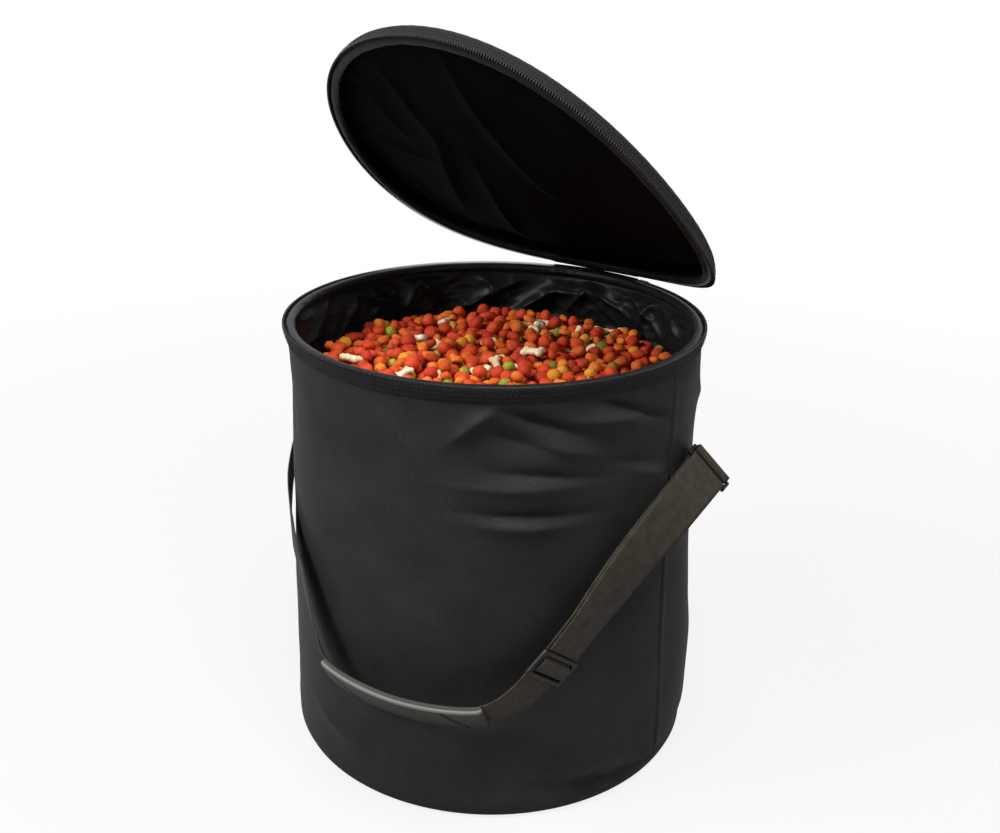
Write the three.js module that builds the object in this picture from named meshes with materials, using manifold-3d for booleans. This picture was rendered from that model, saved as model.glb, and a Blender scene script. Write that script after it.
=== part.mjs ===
// Round pet food storage bag with a zipped lid on a cloth hinge, a carrying strap and dry food inside.
// Millimetres, +Z up. The origin is the middle of the base, +Y is the back, where the lid hangs.
import * as THREE from 'three';
import { mergeVertices } from 'three/addons/utils/BufferGeometryUtils.js';
import Module from 'manifold-3d';

const wasm = await Module();
wasm.setup();

// Driving dimensions of the bag
const BASE_RADIUS = 190;
const MOUTH_RADIUS = 183;
const BAG_HEIGHT = 400;
const BASE_CORNER = 8;
const BASE_HEM = 10;
const WALL = 2;
const BASE_THICKNESS = 2.4;
const LINING = 1;
const CLEARANCE = 0.3;
const RING_SEGMENTS = 72;

// Mouth: a hoop in a sewn sleeve, with the zip flaring out round it
const SLEEVE_RADIUS = 4.6;
const SLEEVE_CLOTH = 1.7;
const SLEEVE_INSET = 2.8;
const SLEEVE_SLIT = 3;
const SLEEVE_STEPS = 6;
const ZIP_TAPE_THICKNESS = 1.1;
const ZIP_TAPE_HEIGHT = 10.5;
const COIL_WIDTH = 2.2;
const COIL_HEIGHT = 3;

// Lid: a soft disc with the same mouth, open on its hinge
const LID_HEIGHT = 20;
const LID_PANEL = 2;
const LID_BAND = 1.6;
const LID_OPEN = 41;

// Cloth hinge strip between bag and lid
const HINGE_WIDTH = 98;
const HINGE_CLOTH = 1.5;
const HINGE_HEIGHT = 9;
const HINGE_REACH = 0.3;

// Zip slider and its pull tab, parked at the right end of the hinge strip
const SLIDER_LENGTH = 11;
const SLIDER_HEIGHT = 8;
const SLIDER_DEPTH = 5.5;
const EAR_THICKNESS = 1.4;
const EAR_REACH = 4.4;
const EAR_HEIGHT = 3.6;
const PIN_RADIUS = 0.8;
const PULL_LENGTH = 30;
const PULL_WIDTH = 6.4;
const PULL_THICKNESS = 1.6;
const KNUCKLE_RADIUS = 2;

// Carrying strap: webbing, grip pad, three-bar slide and two side rings
const STRAP_WIDTH = 38;
const STRAP_THICKNESS = 1.5;
const STRAP_LAYER = 3.2;
const STRAP_STEP = 9;
const ROUTE_FINENESS = 20;
const ANCHOR_HEIGHT = 285;
const PAD_HEIGHT = 114;
const PAD_LENGTH = 150;
const PAD_WIDTH = 42;
const PAD_THICKNESS = 5;
const PAD_GAP = 0.7;
const RING_WIRE = 3;
const RING_DEPTH = 12;
const RING_SIDE_ROOM = 1;
const TAB_LENGTH = 30;
const TAB_DROP = 24;
const SEWN_RETURN = 45;
const RING_EASE = 36;
const SLIDE_LENGTH = 26;
const SLIDE_BAR = 4;
const SLIDE_THICKNESS = 4;
const SLIDE_SIDE_ROOM = 1;
const SLIDE_ROOM = 0.5;
const SLIDE_CENTRE_BAR = 3;

// Dry food in the bag
const FOOD_LEVEL = 344;
const FOOD_CROWN = 7;

// The strap's route round the front, from the right ring to the left one:
// turn round the bag in degrees, rise from the pad to the anchors, stand-off from the wall, outward lean.
const SLIDE_STATION = 4;
const PAD_STATION = 7;
const ROUTE = [
  { turn: 5.5, rise: 1.05, off: 21, lean: -44 },
  { turn: -9, rise: 0.955, off: 19, lean: -32 },
  { turn: -23, rise: 0.745, off: 16.5, lean: -10 },
  { turn: -34, rise: 0.495, off: 15.5, lean: 15.5 },
  { turn: -42.3, rise: 0.29, off: 16.0, lean: 22 },
  { turn: -50, rise: 0.12, off: 17.5, lean: 28 },
  { turn: -58, rise: 0.055, off: 20, lean: 39 },
  { turn: -77.5, rise: 0.047, off: 19, lean: 38 },
  { turn: -99, rise: 0.095, off: 16, lean: 32 },
  { turn: -106.5, rise: 0.25, off: 12.5, lean: 24 },
  { turn: -113.5, rise: 0.43, off: 8.5, lean: 14 },
  { turn: -125, rise: 0.575, off: 4.5, lean: 4 },
  { turn: -141, rise: 0.71, off: 3.5, lean: 0 },
  { turn: -157, rise: 0.85, off: 6, lean: -10 },
  { turn: -172, rise: 0.95, off: 12, lean: -24 },
  { turn: -185, rise: 1.02, off: 20, lean: -38 },
];

const BLACK_CLOTH = { color: 0x1f1f20, roughness: 0.82, metalness: 0 };
const SATIN_LINING = { color: 0x121214, roughness: 0.5, metalness: 0 };
const ZIP_TAPE = { color: 0x26241f, roughness: 0.85, metalness: 0 };
const BLACK_NYLON = { color: 0x141414, roughness: 0.45, metalness: 0 };
const WEBBING = { color: 0x35312b, roughness: 0.88, metalness: 0 };
const GREY_RUBBER = { color: 0x4e4e49, roughness: 0.7, metalness: 0 };
const SPRING_STEEL = { color: 0x8a8a88, roughness: 0.35, metalness: 1 };
const FOOD = { color: 0xa8411c, roughness: 0.8, metalness: 0 };

const bag = new THREE.Group();
const radians = THREE.MathUtils.degToRad;

// One closed surface: shared vertices merged, empty triangles dropped, faces turned outwards.
function closed(geometry) {
  geometry.deleteAttribute('normal');
  geometry.deleteAttribute('uv');
  const merged = mergeVertices(geometry, 1e-4);
  const at = merged.getAttribute('position');
  const index = [];
  const a = new THREE.Vector3();
  const b = new THREE.Vector3();
  const c = new THREE.Vector3();
  let volume = 0;
  for (let i = 0; i < merged.index.count; i += 3) {
    const [p, q, r] = [0, 1, 2].map((k) => merged.index.getX(i + k));
    if (p === q || q === r || r === p) continue;
    index.push(p, q, r);
    a.fromBufferAttribute(at, p);
    b.fromBufferAttribute(at, q);
    c.fromBufferAttribute(at, r);
    volume += a.dot(b.cross(c));
  }
  if (volume < 0) index.reverse();
  merged.setIndex(index);
  return merged;
}

function toManifold(geometry) {
  const vertProperties = new Float32Array(geometry.getAttribute('position').array);
  const triVerts = new Uint32Array(geometry.index.array);
  return new wasm.Manifold(new wasm.Mesh({ numProp: 3, vertProperties, triVerts }));
}

function toGeometry(solid) {
  const mesh = solid.getMesh();
  const geometry = new THREE.BufferGeometry();
  geometry.setAttribute('position', new THREE.BufferAttribute(new Float32Array(mesh.vertProperties), 3));
  geometry.setIndex(Array.from(mesh.triVerts));
  return geometry;
}

const cut = (geometry, tool) => toGeometry(toManifold(geometry).subtract(toManifold(tool)));
const keep = (geometry, tool) => toGeometry(toManifold(geometry).intersect(toManifold(tool)));
const join = (geometry, other) => toGeometry(toManifold(geometry).add(toManifold(other)));

function add(group, name, geometry, finish) {
  const mesh = new THREE.Mesh(geometry, new THREE.MeshStandardMaterial(finish));
  mesh.name = name;
  group.add(mesh);
}

// A solid of revolution about Z from [radius, height] points.
function turned(profile) {
  const points = profile.map(([radius, height]) => new THREE.Vector2(radius, height));
  const geometry = new THREE.LatheGeometry(points, RING_SEGMENTS);
  geometry.rotateX(Math.PI / 2);
  return closed(geometry);
}

const ring = (profile) => turned([...profile, profile[0]]);

function block(x, y, z) {
  return closed(new THREE.BoxGeometry(x, y, z));
}

// A wedge about Z from one angle to another, taller and wider than the bag.
function wedge(from, to) {
  const reach = 2 * BASE_RADIUS;
  const shape = new THREE.Shape();
  shape.moveTo(0, 0);
  [from, (from + to) / 2, to].forEach((angle) => {
    shape.lineTo(reach * Math.cos(angle), reach * Math.sin(angle));
  });
  const depth = 2 * BAG_HEIGHT;
  return closed(new THREE.ExtrudeGeometry(shape, { depth, bevelEnabled: false }));
}

// Outer wall radius at a height
function wallRadius(height) {
  return MOUTH_RADIUS + WALL_SLOPE * (height - WALL_TOP);
}

// Heights and radii that follow from the driving dimensions
const SLEEVE_CENTRE = BAG_HEIGHT - SLEEVE_RADIUS;
const SLEEVE_RING = MOUTH_RADIUS - SLEEVE_INSET;
const LINING_TOP = SLEEVE_CENTRE - SLEEVE_RADIUS - CLEARANCE;
const WALL_TOP = LINING_TOP - 2;
const WALL_SLOPE = (MOUTH_RADIUS - BASE_RADIUS) / (WALL_TOP - BASE_CORNER);
const COIL_INNER = SLEEVE_RING + SLEEVE_RADIUS + CLEARANCE;
const COIL_OUTER = COIL_INNER + COIL_WIDTH;
const COIL_BASE = BAG_HEIGHT - COIL_HEIGHT;
const TAPE_TOP = COIL_BASE - CLEARANCE;
const TAPE_LOW = TAPE_TOP - ZIP_TAPE_HEIGHT;
const FLARE_FOOT = Math.max(MOUTH_RADIUS, wallRadius(TAPE_LOW)) + CLEARANCE;
const LID_BOTTOM = BAG_HEIGHT + CLEARANCE;
const HINGE_ANGLE = HINGE_WIDTH / COIL_OUTER;
const SLIDER_ANGLE = (SLIDER_LENGTH + 2 * CLEARANCE) / COIL_OUTER;
const BACK = Math.PI / 2;
const ZIP_END_RIGHT = BACK - HINGE_ANGLE / 2 - SLIDER_ANGLE;
const ZIP_END_LEFT = BACK + HINGE_ANGLE / 2;

// Points along an arc in the turning plane, from one angle in degrees to another.
function arc(radius, height, size, from, to, steps) {
  return Array.from({ length: steps + 1 }, (_, i) => {
    const angle = radians(from + ((to - from) * i) / steps);
    return [radius + size * Math.cos(angle), height + size * Math.sin(angle)];
  });
}

function buildBody() {
  const inner = BASE_CORNER - WALL;
  const corner = BASE_RADIUS - BASE_CORNER;
  const hem = corner - BASE_HEM;
  add(bag, 'body_wall', ring([
    [hem, 0],
    ...arc(corner, BASE_CORNER, BASE_CORNER, -90, 0, 4),
    [MOUTH_RADIUS, WALL_TOP],
    [MOUTH_RADIUS - WALL, WALL_TOP],
    ...arc(corner, BASE_CORNER, inner, 0, -90, 4),
    [hem, WALL],
  ]), BLACK_CLOTH);

  const panel = hem - CLEARANCE;
  add(bag, 'base_panel', turned([[0, 0], [panel, 0], [panel, BASE_THICKNESS], [0, BASE_THICKNESS]]), BLACK_CLOTH);

  const floor = BASE_THICKNESS + CLEARANCE;
  const liningOuter = inner - CLEARANCE;
  const mouth = MOUTH_RADIUS - WALL - CLEARANCE;
  add(bag, 'lining', turned([
    [0, floor],
    ...arc(corner, floor + liningOuter, liningOuter, -90, 0, 3),
    [mouth, LINING_TOP],
    [mouth - LINING, LINING_TOP],
    ...arc(corner, floor + liningOuter, liningOuter - LINING, 0, -90, 3),
    [0, floor + LINING],
  ]), SATIN_LINING);

  const foodFloor = floor + LINING + CLEARANCE;
  const foodCorner = liningOuter - LINING - CLEARANCE;
  const taper = (FOOD_LEVEL - floor - liningOuter) / (LINING_TOP - floor - liningOuter);
  const foodRim = corner + foodCorner + (mouth - LINING - CLEARANCE - corner - foodCorner) * taper;
  const crown = (share) => [foodRim * share, FOOD_LEVEL + FOOD_CROWN * Math.cos((share * Math.PI) / 2)];
  add(bag, 'kibble_fill', turned([
    [0, foodFloor],
    ...arc(corner, foodFloor + foodCorner, foodCorner, -90, 0, 3),
    ...[1, 0.75, 0.5, 0.25, 0].map(crown),
  ]), FOOD);
}

// A sewn sleeve with its hoop inside, open in a slit where the cloth is stitched down.
function addHoop(group, prefix, centre, slitAngle) {
  const slit = THREE.MathUtils.radToDeg(Math.asin(SLEEVE_SLIT / 2 / SLEEVE_RADIUS));
  const from = slitAngle + slit;
  const to = slitAngle + 360 - slit;
  const inside = SLEEVE_RADIUS - SLEEVE_CLOTH;
  const wire = inside - CLEARANCE;
  add(group, `${prefix}_sleeve`, ring([
    ...arc(SLEEVE_RING, centre, SLEEVE_RADIUS, from, to, SLEEVE_STEPS),
    ...arc(SLEEVE_RING, centre, inside, to, from, SLEEVE_STEPS),
  ]), SATIN_LINING);
  add(group, `${prefix}_hoop`, ring(arc(SLEEVE_RING, centre, wire * 0.92, 0, 300, 5)), SPRING_STEEL);
}

// A band flaring out from the wall's line, round the sleeve at its middle height, to the zip's edge.
function flare(edge, middle, foot) {
  return ring([
    [FLARE_FOOT, foot],
    [FLARE_FOOT + ZIP_TAPE_THICKNESS, foot],
    [COIL_OUTER, middle],
    [COIL_OUTER, edge],
    [COIL_OUTER - ZIP_TAPE_THICKNESS, edge],
    [COIL_OUTER - ZIP_TAPE_THICKNESS, middle],
  ]);
}

function zipCoil(low, hinge) {
  const middle = low + COIL_HEIGHT / 2;
  const bulge = COIL_WIDTH / 4;
  return cut(ring([
    [COIL_INNER + bulge, low],
    [COIL_OUTER - bulge, low],
    [COIL_OUTER, middle],
    [COIL_OUTER - bulge, low + COIL_HEIGHT],
    [COIL_INNER + bulge, low + COIL_HEIGHT],
    [COIL_INNER, middle],
  ]), hinge);
}

function buildMouth() {
  addHoop(bag, 'rim', SLEEVE_CENTRE, -90);
  const hinge = wedge(ZIP_END_RIGHT, ZIP_END_LEFT);
  add(bag, 'body_zip_tape', cut(flare(TAPE_TOP, SLEEVE_CENTRE, TAPE_LOW), hinge), ZIP_TAPE);
  add(bag, 'body_zip_coil', zipCoil(COIL_BASE, hinge), BLACK_NYLON);
}

// The hinge cloth's sector at the back, clear of the zip's ends
function hingeSector() {
  const side = CLEARANCE / COIL_OUTER;
  return wedge(BACK - HINGE_ANGLE / 2 + side, ZIP_END_LEFT - side);
}

// The lid is drawn shut on the mouth, then its group is turned open about the fold at the strip's top edge.
function buildLid() {
  const fold = new THREE.Vector3(0, COIL_OUTER + HINGE_REACH, LID_BOTTOM);
  const lid = new THREE.Group();
  lid.position.copy(fold);
  lid.rotation.x = -radians(LID_OPEN);
  const shut = (geometry) => geometry.translate(0, -fold.y, -fold.z);
  const put = (name, geometry, finish) => add(lid, name, shut(geometry), finish);

  const hinge = wedge(BACK - HINGE_ANGLE / 2, ZIP_END_LEFT);
  const sleeveCentre = LID_BOTTOM + SLEEVE_RADIUS;
  const tapeLow = LID_BOTTOM + COIL_HEIGHT + CLEARANCE;
  const tapeFoot = tapeLow + ZIP_TAPE_HEIGHT;
  put('lid_zip_coil', zipCoil(LID_BOTTOM, hinge), BLACK_NYLON);
  put('lid_zip_tape', cut(flare(tapeLow, sleeveCentre, tapeFoot), hinge), ZIP_TAPE);
  put('lid_hem', keep(flare(LID_BOTTOM, sleeveCentre, tapeFoot), hingeSector()), BLACK_CLOTH);

  const sleeve = new THREE.Group();
  addHoop(sleeve, 'lid', sleeveCentre, 90);
  [...sleeve.children].forEach((mesh) => {
    shut(mesh.geometry);
    lid.add(mesh);
  });

  const bandOuter = FLARE_FOOT - CLEARANCE;
  const bandLow = sleeveCentre + SLEEVE_RADIUS + CLEARANCE;
  const panelLow = LID_BOTTOM + LID_HEIGHT - LID_PANEL;
  const bandTop = panelLow - CLEARANCE;
  put('lid_band', ring([
    [bandOuter - LID_BAND, bandLow],
    [bandOuter, bandLow],
    [bandOuter, bandTop],
    [bandOuter - LID_BAND, bandTop],
  ]), BLACK_CLOTH);
  const panelTop = panelLow + LID_PANEL;
  put('lid_panel', turned([[0, panelLow], [bandOuter, panelLow], [bandOuter, panelTop], [0, panelTop]]), BLACK_CLOTH);

  const liningOuter = bandOuter - LID_BAND - CLEARANCE;
  const liningTop = bandTop;
  put('lid_lining', turned([
    [0, liningTop - LINING],
    [liningOuter - LINING, liningTop - LINING],
    [liningOuter - LINING, bandLow],
    [liningOuter, bandLow],
    [liningOuter, liningTop],
    [0, liningTop],
  ]), SATIN_LINING);
  bag.add(lid);
}

function buildHingeStrip() {
  const outer = COIL_OUTER;
  const top = LID_BOTTOM - CLEARANCE;
  const plate = ring([
    [outer - HINGE_CLOTH, top - HINGE_HEIGHT],
    [outer, top - HINGE_HEIGHT],
    [outer, top],
    [outer - HINGE_CLOTH, top],
  ]);
  add(bag, 'hinge_strip', keep(plate, hingeSector()), BLACK_CLOTH);
}

// A rod along Y
function rod(radius, length) {
  return closed(new THREE.CylinderGeometry(radius, radius, length, 16));
}

// The slider fills the end of the bag's coil; its two ears hold a pin that the pull tab hangs on.
function buildSlider() {
  const group = new THREE.Group();
  group.rotation.z = ZIP_END_RIGHT + SLIDER_ANGLE / 2;
  const top = BAG_HEIGHT - CLEARANCE;
  const near = COIL_INNER + CLEARANCE;
  const far = near + SLIDER_DEPTH;
  const pinReach = far + EAR_REACH - EAR_HEIGHT / 2;
  const pinHeight = top - SLIDER_HEIGHT / 2;
  const span = PULL_WIDTH + 2 * CLEARANCE;

  let slider = block(SLIDER_DEPTH, SLIDER_LENGTH, SLIDER_HEIGHT)
    .translate(near + SLIDER_DEPTH / 2, 0, pinHeight);
  [-1, 1].forEach((side) => {
    const ear = block(EAR_REACH + 1, EAR_THICKNESS, EAR_HEIGHT)
      .translate(far + EAR_REACH / 2 - 0.5, (side * (span + EAR_THICKNESS)) / 2, pinHeight);
    slider = join(slider, ear);
  });
  const pin = rod(PIN_RADIUS, span + EAR_THICKNESS).translate(pinReach, 0, pinHeight);
  add(group, 'zip_slider', join(slider, pin), BLACK_NYLON);

  const plate = block(PULL_THICKNESS, PULL_WIDTH, PULL_LENGTH).translate(pinReach, 0, pinHeight - PULL_LENGTH / 2);
  const knuckle = rod(KNUCKLE_RADIUS, PULL_WIDTH).translate(pinReach, 0, pinHeight);
  const bore = rod(PIN_RADIUS + CLEARANCE, 2 * PULL_WIDTH).translate(pinReach, 0, pinHeight);
  add(group, 'zip_pull', cut(join(plate, knuckle), bore), BLACK_NYLON);
  bag.add(group);
}

// A place on the strap's route: its middle, the way it runs, the way across it and the way out of its face.
function stationAt(curve, leans, share) {
  const middle = curve.getPoint(share);
  const along = curve.getTangent(share);
  const outward = new THREE.Vector3(middle.x, middle.y, 0).normalize();
  const across = new THREE.Vector3().crossVectors(along, outward).normalize();
  if (across.z < 0) across.negate();
  const face = new THREE.Vector3().crossVectors(across, along).normalize();
  if (face.dot(outward) < 0) face.negate();
  const place = share * (leans.length - 1);
  const i = Math.min(Math.floor(place), leans.length - 2);
  const lean = radians(leans[i] + (leans[i + 1] - leans[i]) * (place - i));
  const tilted = across.clone().multiplyScalar(Math.cos(lean)).addScaledVector(face, Math.sin(lean));
  const out = face.clone().multiplyScalar(Math.cos(lean)).addScaledVector(across, -Math.sin(lean));
  return { middle, along, across: tilted, out };
}

// A flat band through stations, with its thickness across its face.
function band(stations, width, thickness) {
  const corners = [];
  stations.forEach(({ middle, across, out }) => {
    [[-1, -1], [1, -1], [1, 1], [-1, 1]].forEach(([side, depth]) => {
      corners.push(middle.clone()
        .addScaledVector(across, (side * width) / 2)
        .addScaledVector(out, (depth * thickness) / 2));
    });
  });
  const index = [];
  const quad = (a, b, c, d) => index.push(a, b, c, a, c, d);
  for (let i = 0; i < stations.length - 1; i += 1) {
    for (let k = 0; k < 4; k += 1) {
      const next = (k + 1) % 4;
      quad(4 * i + k, 4 * i + next, 4 * i + 4 + next, 4 * i + 4 + k);
    }
  }
  const last = 4 * (stations.length - 1);
  quad(3, 2, 1, 0);
  quad(last, last + 1, last + 2, last + 3);
  const geometry = new THREE.BufferGeometry().setFromPoints(corners);
  geometry.setIndex(index);
  return closed(geometry);
}

// The same station moved along the strap and out of its face.
function shifted(station, along, out) {
  const middle = station.middle.clone().addScaledVector(station.along, along).addScaledVector(station.out, out);
  return { ...station, middle };
}

// The same station with its faces swapped, for the band's far side of a half turn.
const turnedOver = (station) => ({ ...station, out: station.out.clone().negate() });

// A half turn round a bar at a station; side is +1 where the band comes back on the strap's own side.
function halfTurn(station, radius, side) {
  return Array.from({ length: 7 }, (_, i) => {
    const angle = Math.PI * (i / 6);
    const out = Math.cos(angle) * radius;
    const along = -side * Math.sin(angle) * radius;
    const turnedOut = station.out.clone().multiplyScalar(Math.cos(angle))
      .addScaledVector(station.along, -side * Math.sin(angle));
    return { ...shifted(station, along, out), out: turnedOut };
  });
}

// A box in a station's own directions: along the strap, across it and out of its face.
function stationBox(station, size, centre) {
  const frame = new THREE.Matrix4().makeBasis(station.along, station.across, station.out);
  if (frame.determinant() < 0) frame.makeBasis(station.along, station.across.clone().negate(), station.out);
  frame.setPosition(station.middle);
  return closed(new THREE.BoxGeometry(...size).translate(...centre)).applyMatrix4(frame);
}

// A frame of round-cornered bars in a station's plane, with its windows cut through.
function frameOf(station, length, width, thickness, windows) {
  let solid = stationBox(station, [length, width, thickness], [0, 0, 0]);
  windows.forEach(({ at, span, reach }) => {
    solid = cut(solid, stationBox(station, [span, reach, 3 * thickness], [at, 0, 0]));
  });
  return solid;
}

function buildStrap() {
  const points = ROUTE.map(({ turn, rise, off }) => {
    const height = PAD_HEIGHT + rise * (ANCHOR_HEIGHT - PAD_HEIGHT);
    const radius = wallRadius(height) + off;
    return new THREE.Vector3(radius * Math.cos(radians(turn)), radius * Math.sin(radians(turn)), height);
  });
  const curve = new THREE.CatmullRomCurve3(points, false, 'centripetal');
  curve.arcLengthDivisions = ROUTE_FINENESS * (ROUTE.length - 1);
  const lengths = curve.getLengths();
  const last = lengths[lengths.length - 1];
  const lengthTo = (station) => lengths[station * ROUTE_FINENESS];
  const leans = ROUTE.map(({ lean }) => lean);
  const shareAt = (distance) => THREE.MathUtils.clamp(distance / last, 0, 1);
  const at = (distance) => stationAt(curve, leans, curve.getUtoTmapping(shareAt(distance)));
  const wrap = RING_WIRE * Math.SQRT1_2 + CLEARANCE + STRAP_THICKNESS / 2;

  // Stations a step apart between two distances along the route, each moved out of the face by a function.
  const run = (from, to, out) => {
    const steps = Math.max(2, Math.round(Math.abs(to - from) / STRAP_STEP));
    return Array.from({ length: steps + 1 }, (_, i) => {
      const distance = from + ((to - from) * i) / steps;
      return shifted(at(distance), 0, out(distance));
    });
  };

  const rightRing = at(0);
  const leftRing = at(last);
  const slideAt = lengthTo(SLIDE_STATION);
  const slide = at(slideAt);
  const slideEnd = SLIDE_LENGTH / 2 + SLIDE_ROOM;
  const slideLevel = SLIDE_THICKNESS / 2 + CLEARANCE + STRAP_THICKNESS / 2;

  // The layers part at the ring, one on each side of its bar, and close up along the strap.
  const parting = (distance) => wrap * Math.max(0, 1 - distance / RING_EASE);
  const layer = (distance) => parting(distance) + STRAP_LAYER * Math.min(1, distance / RING_EASE);
  const upper = run(slideAt - slideEnd, 0, layer);
  const lower = run(0, slideAt - slideEnd, (distance) => -parting(distance));

  // Through the slide: under the end bars and over the middle one.
  const window = SLIDE_LENGTH / 2 - SLIDE_BAR;
  const through = [[-window, 0], [-SLIDE_CENTRE_BAR, 1], [SLIDE_CENTRE_BAR, 1], [window, 0]]
    .map(([along, level]) => shifted(slide, along, 2 * slideLevel * level));
  const padAt = lengthTo(PAD_STATION);
  const behindPad = run(padAt - PAD_LENGTH / 2, padAt + PAD_LENGTH / 2, () => 0);
  const rest = [
    ...run(slideAt + slideEnd, padAt - PAD_LENGTH / 2, () => 0).slice(0, -1),
    ...behindPad,
    ...run(padAt + PAD_LENGTH / 2, last, (distance) => -parting(last - distance)).slice(1),
  ];
  const back = run(last, last - SEWN_RETURN, (distance) => layer(last - distance));

  const stations = [
    ...upper.slice(0, -1),
    ...halfTurn(rightRing, wrap, 1),
    ...[...lower.slice(1), ...through, ...rest.slice(0, -1)].map(turnedOver),
    ...halfTurn(leftRing, wrap, -1).reverse(),
    ...back.slice(1),
  ];
  add(bag, 'strap_webbing', band(stations, STRAP_WIDTH, STRAP_THICKNESS), WEBBING);

  const slideWidth = STRAP_WIDTH + 2 * (SLIDE_SIDE_ROOM + SLIDE_BAR);
  const slideFrame = shifted(slide, 0, slideLevel);
  const gap = window - SLIDE_CENTRE_BAR / 2;
  const opening = { span: gap, reach: STRAP_WIDTH + 2 * SLIDE_SIDE_ROOM };
  const offset = (window + SLIDE_CENTRE_BAR / 2) / 2;
  const windows = [{ ...opening, at: -offset }, { ...opening, at: offset }];
  add(bag, 'three_bar_slide', frameOf(slideFrame, SLIDE_LENGTH, slideWidth, SLIDE_THICKNESS, windows), BLACK_NYLON);

  const ringWidth = STRAP_WIDTH + 2 * (RING_SIDE_ROOM + RING_WIRE);
  const ringWindow = [{ at: 0, span: RING_DEPTH - 2 * RING_WIRE, reach: STRAP_WIDTH + 2 * RING_SIDE_ROOM }];
  const barOffset = (RING_DEPTH - RING_WIRE) / 2;
  [['right', rightRing, -1], ['left', leftRing, 1]].forEach(([name, station, way]) => {
    const middle = shifted(station, way * barOffset, 0);
    add(bag, `side_ring_${name}`, frameOf(middle, RING_DEPTH, ringWidth, RING_WIRE, ringWindow), BLACK_NYLON);
    const bar = shifted(station, 2 * way * barOffset, 0);
    add(bag, `side_tab_${name}`, sideTab(bar, way, wrap), WEBBING);
  });

  const padOut = STRAP_THICKNESS / 2 + PAD_GAP + PAD_THICKNESS / 2;
  const pad = behindPad.map((station) => shifted(station, 0, padOut));
  add(bag, 'grip_pad', band(pad, PAD_WIDTH, PAD_THICKNESS), GREY_RUBBER);
}

// A loop of webbing round the ring's outer bar, with both ends laid against the wall.
function sideTab(bar, way, wrap) {
  const leaf = (depth) => {
    const end = shifted(bar, way * TAB_LENGTH, 0).middle;
    end.z -= TAB_DROP;
    const angle = Math.atan2(end.y, end.x);
    const foot = new THREE.Vector3(Math.cos(angle), Math.sin(angle), 0).multiplyScalar(wallRadius(end.z));
    const outward = new THREE.Vector3(Math.cos(angle), Math.sin(angle), -WALL_SLOPE).normalize();
    const middle = foot.setZ(end.z).addScaledVector(outward, CLEARANCE + STRAP_THICKNESS / 2 + depth);
    const across = new THREE.Vector3().crossVectors(bar.along, outward).normalize();
    if (across.dot(bar.across) < 0) across.negate();
    return { middle, across, out: outward };
  };
  const past = (side) => shifted(bar, way * RING_WIRE, side * wrap);
  const loop = [past(1), ...halfTurn(bar, wrap, way), turnedOver(past(-1))];
  const stations = [leaf(STRAP_THICKNESS + CLEARANCE), ...loop, turnedOver(leaf(0))];
  return band(stations, STRAP_WIDTH, STRAP_THICKNESS);
}

buildBody();
buildMouth();
buildLid();
buildHingeStrip();
buildSlider();
buildStrap();

export default bag;
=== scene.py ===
"""A round cloth bag for dry pet food, with its soft lid standing open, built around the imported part."""

import math
import random

import bpy
import numpy as np
from mathutils import Matrix, Vector, noise


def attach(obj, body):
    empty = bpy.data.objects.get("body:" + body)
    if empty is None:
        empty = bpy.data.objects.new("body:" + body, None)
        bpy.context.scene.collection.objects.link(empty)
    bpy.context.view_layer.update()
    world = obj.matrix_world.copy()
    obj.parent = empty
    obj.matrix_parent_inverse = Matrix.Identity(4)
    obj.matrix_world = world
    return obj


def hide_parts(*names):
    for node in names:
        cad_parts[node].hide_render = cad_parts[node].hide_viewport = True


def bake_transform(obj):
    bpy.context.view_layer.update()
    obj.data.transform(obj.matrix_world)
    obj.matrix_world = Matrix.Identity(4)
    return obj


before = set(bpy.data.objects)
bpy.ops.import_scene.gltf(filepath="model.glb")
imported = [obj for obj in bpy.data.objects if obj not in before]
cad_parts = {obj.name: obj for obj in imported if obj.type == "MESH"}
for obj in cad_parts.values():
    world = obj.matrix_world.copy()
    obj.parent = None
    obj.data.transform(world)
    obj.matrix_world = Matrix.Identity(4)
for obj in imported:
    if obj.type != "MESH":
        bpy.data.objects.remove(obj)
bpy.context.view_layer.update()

# Sizes in millimetres, as the part has them.
MM = 0.001
MOUTH_RADIUS = 183.0
BASE_RADIUS = 190.0
WALL_TOP = 388.5
BASE_CORNER = 8.0
HEM_RADIUS = 172.0
WALL_CLOTH = 2.0
WALL_SLOPE = (MOUTH_RADIUS - BASE_RADIUS) / (WALL_TOP - BASE_CORNER)
SLEEVE_RING = 180.2
SLEEVE_CENTRE = 395.4
SLEEVE_RADIUS = 4.6
PARTING = 400.15
LID_AXIS_Y = 187.6
LID_AXIS_Z = 400.3
LID_OPEN = math.radians(41.0)
LID_BEND_START = (0.1637, 0.4084, 0.3781)
LID_BEND_END = (-0.0692, -0.1711, 0.4363)
ZIP_FROM = 104.99
BAG_ZIP_TO = 431.46
LID_ZIP_TO = 435.01
HINGE_FROM = 75.01
HINGE_TO = 104.99
SIDE_SEAM = -3.5
FOOD_LEVEL = 344.0
FOOD_CROWN = 7.0
FOOD_EDGE = 171.0
STRAP_WIDTH = 38.0
STRAP_CLOTH = 1.5
# Points of one mesh that lie nearer than this, in metres, become one point.
SEAM_MERGE = 2e-6


# Small tools that every piece is made with.

def deselect_all():
    for item in list(bpy.context.selected_objects):
        item.select_set(False)
    bpy.context.view_layer.objects.active = None


def make_active(piece):
    deselect_all()
    piece.select_set(True)
    bpy.context.view_layer.objects.active = piece


def named(name):
    piece = bpy.context.active_object
    piece.name = name
    piece.data.name = name
    return piece


def apply_modifier(piece, kind, **settings):
    make_active(piece)
    modifier = piece.modifiers.new(kind.lower(), kind)
    for name, value in settings.items():
        setattr(modifier, name, value)
    bpy.ops.object.modifier_apply(modifier=modifier.name)


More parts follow.
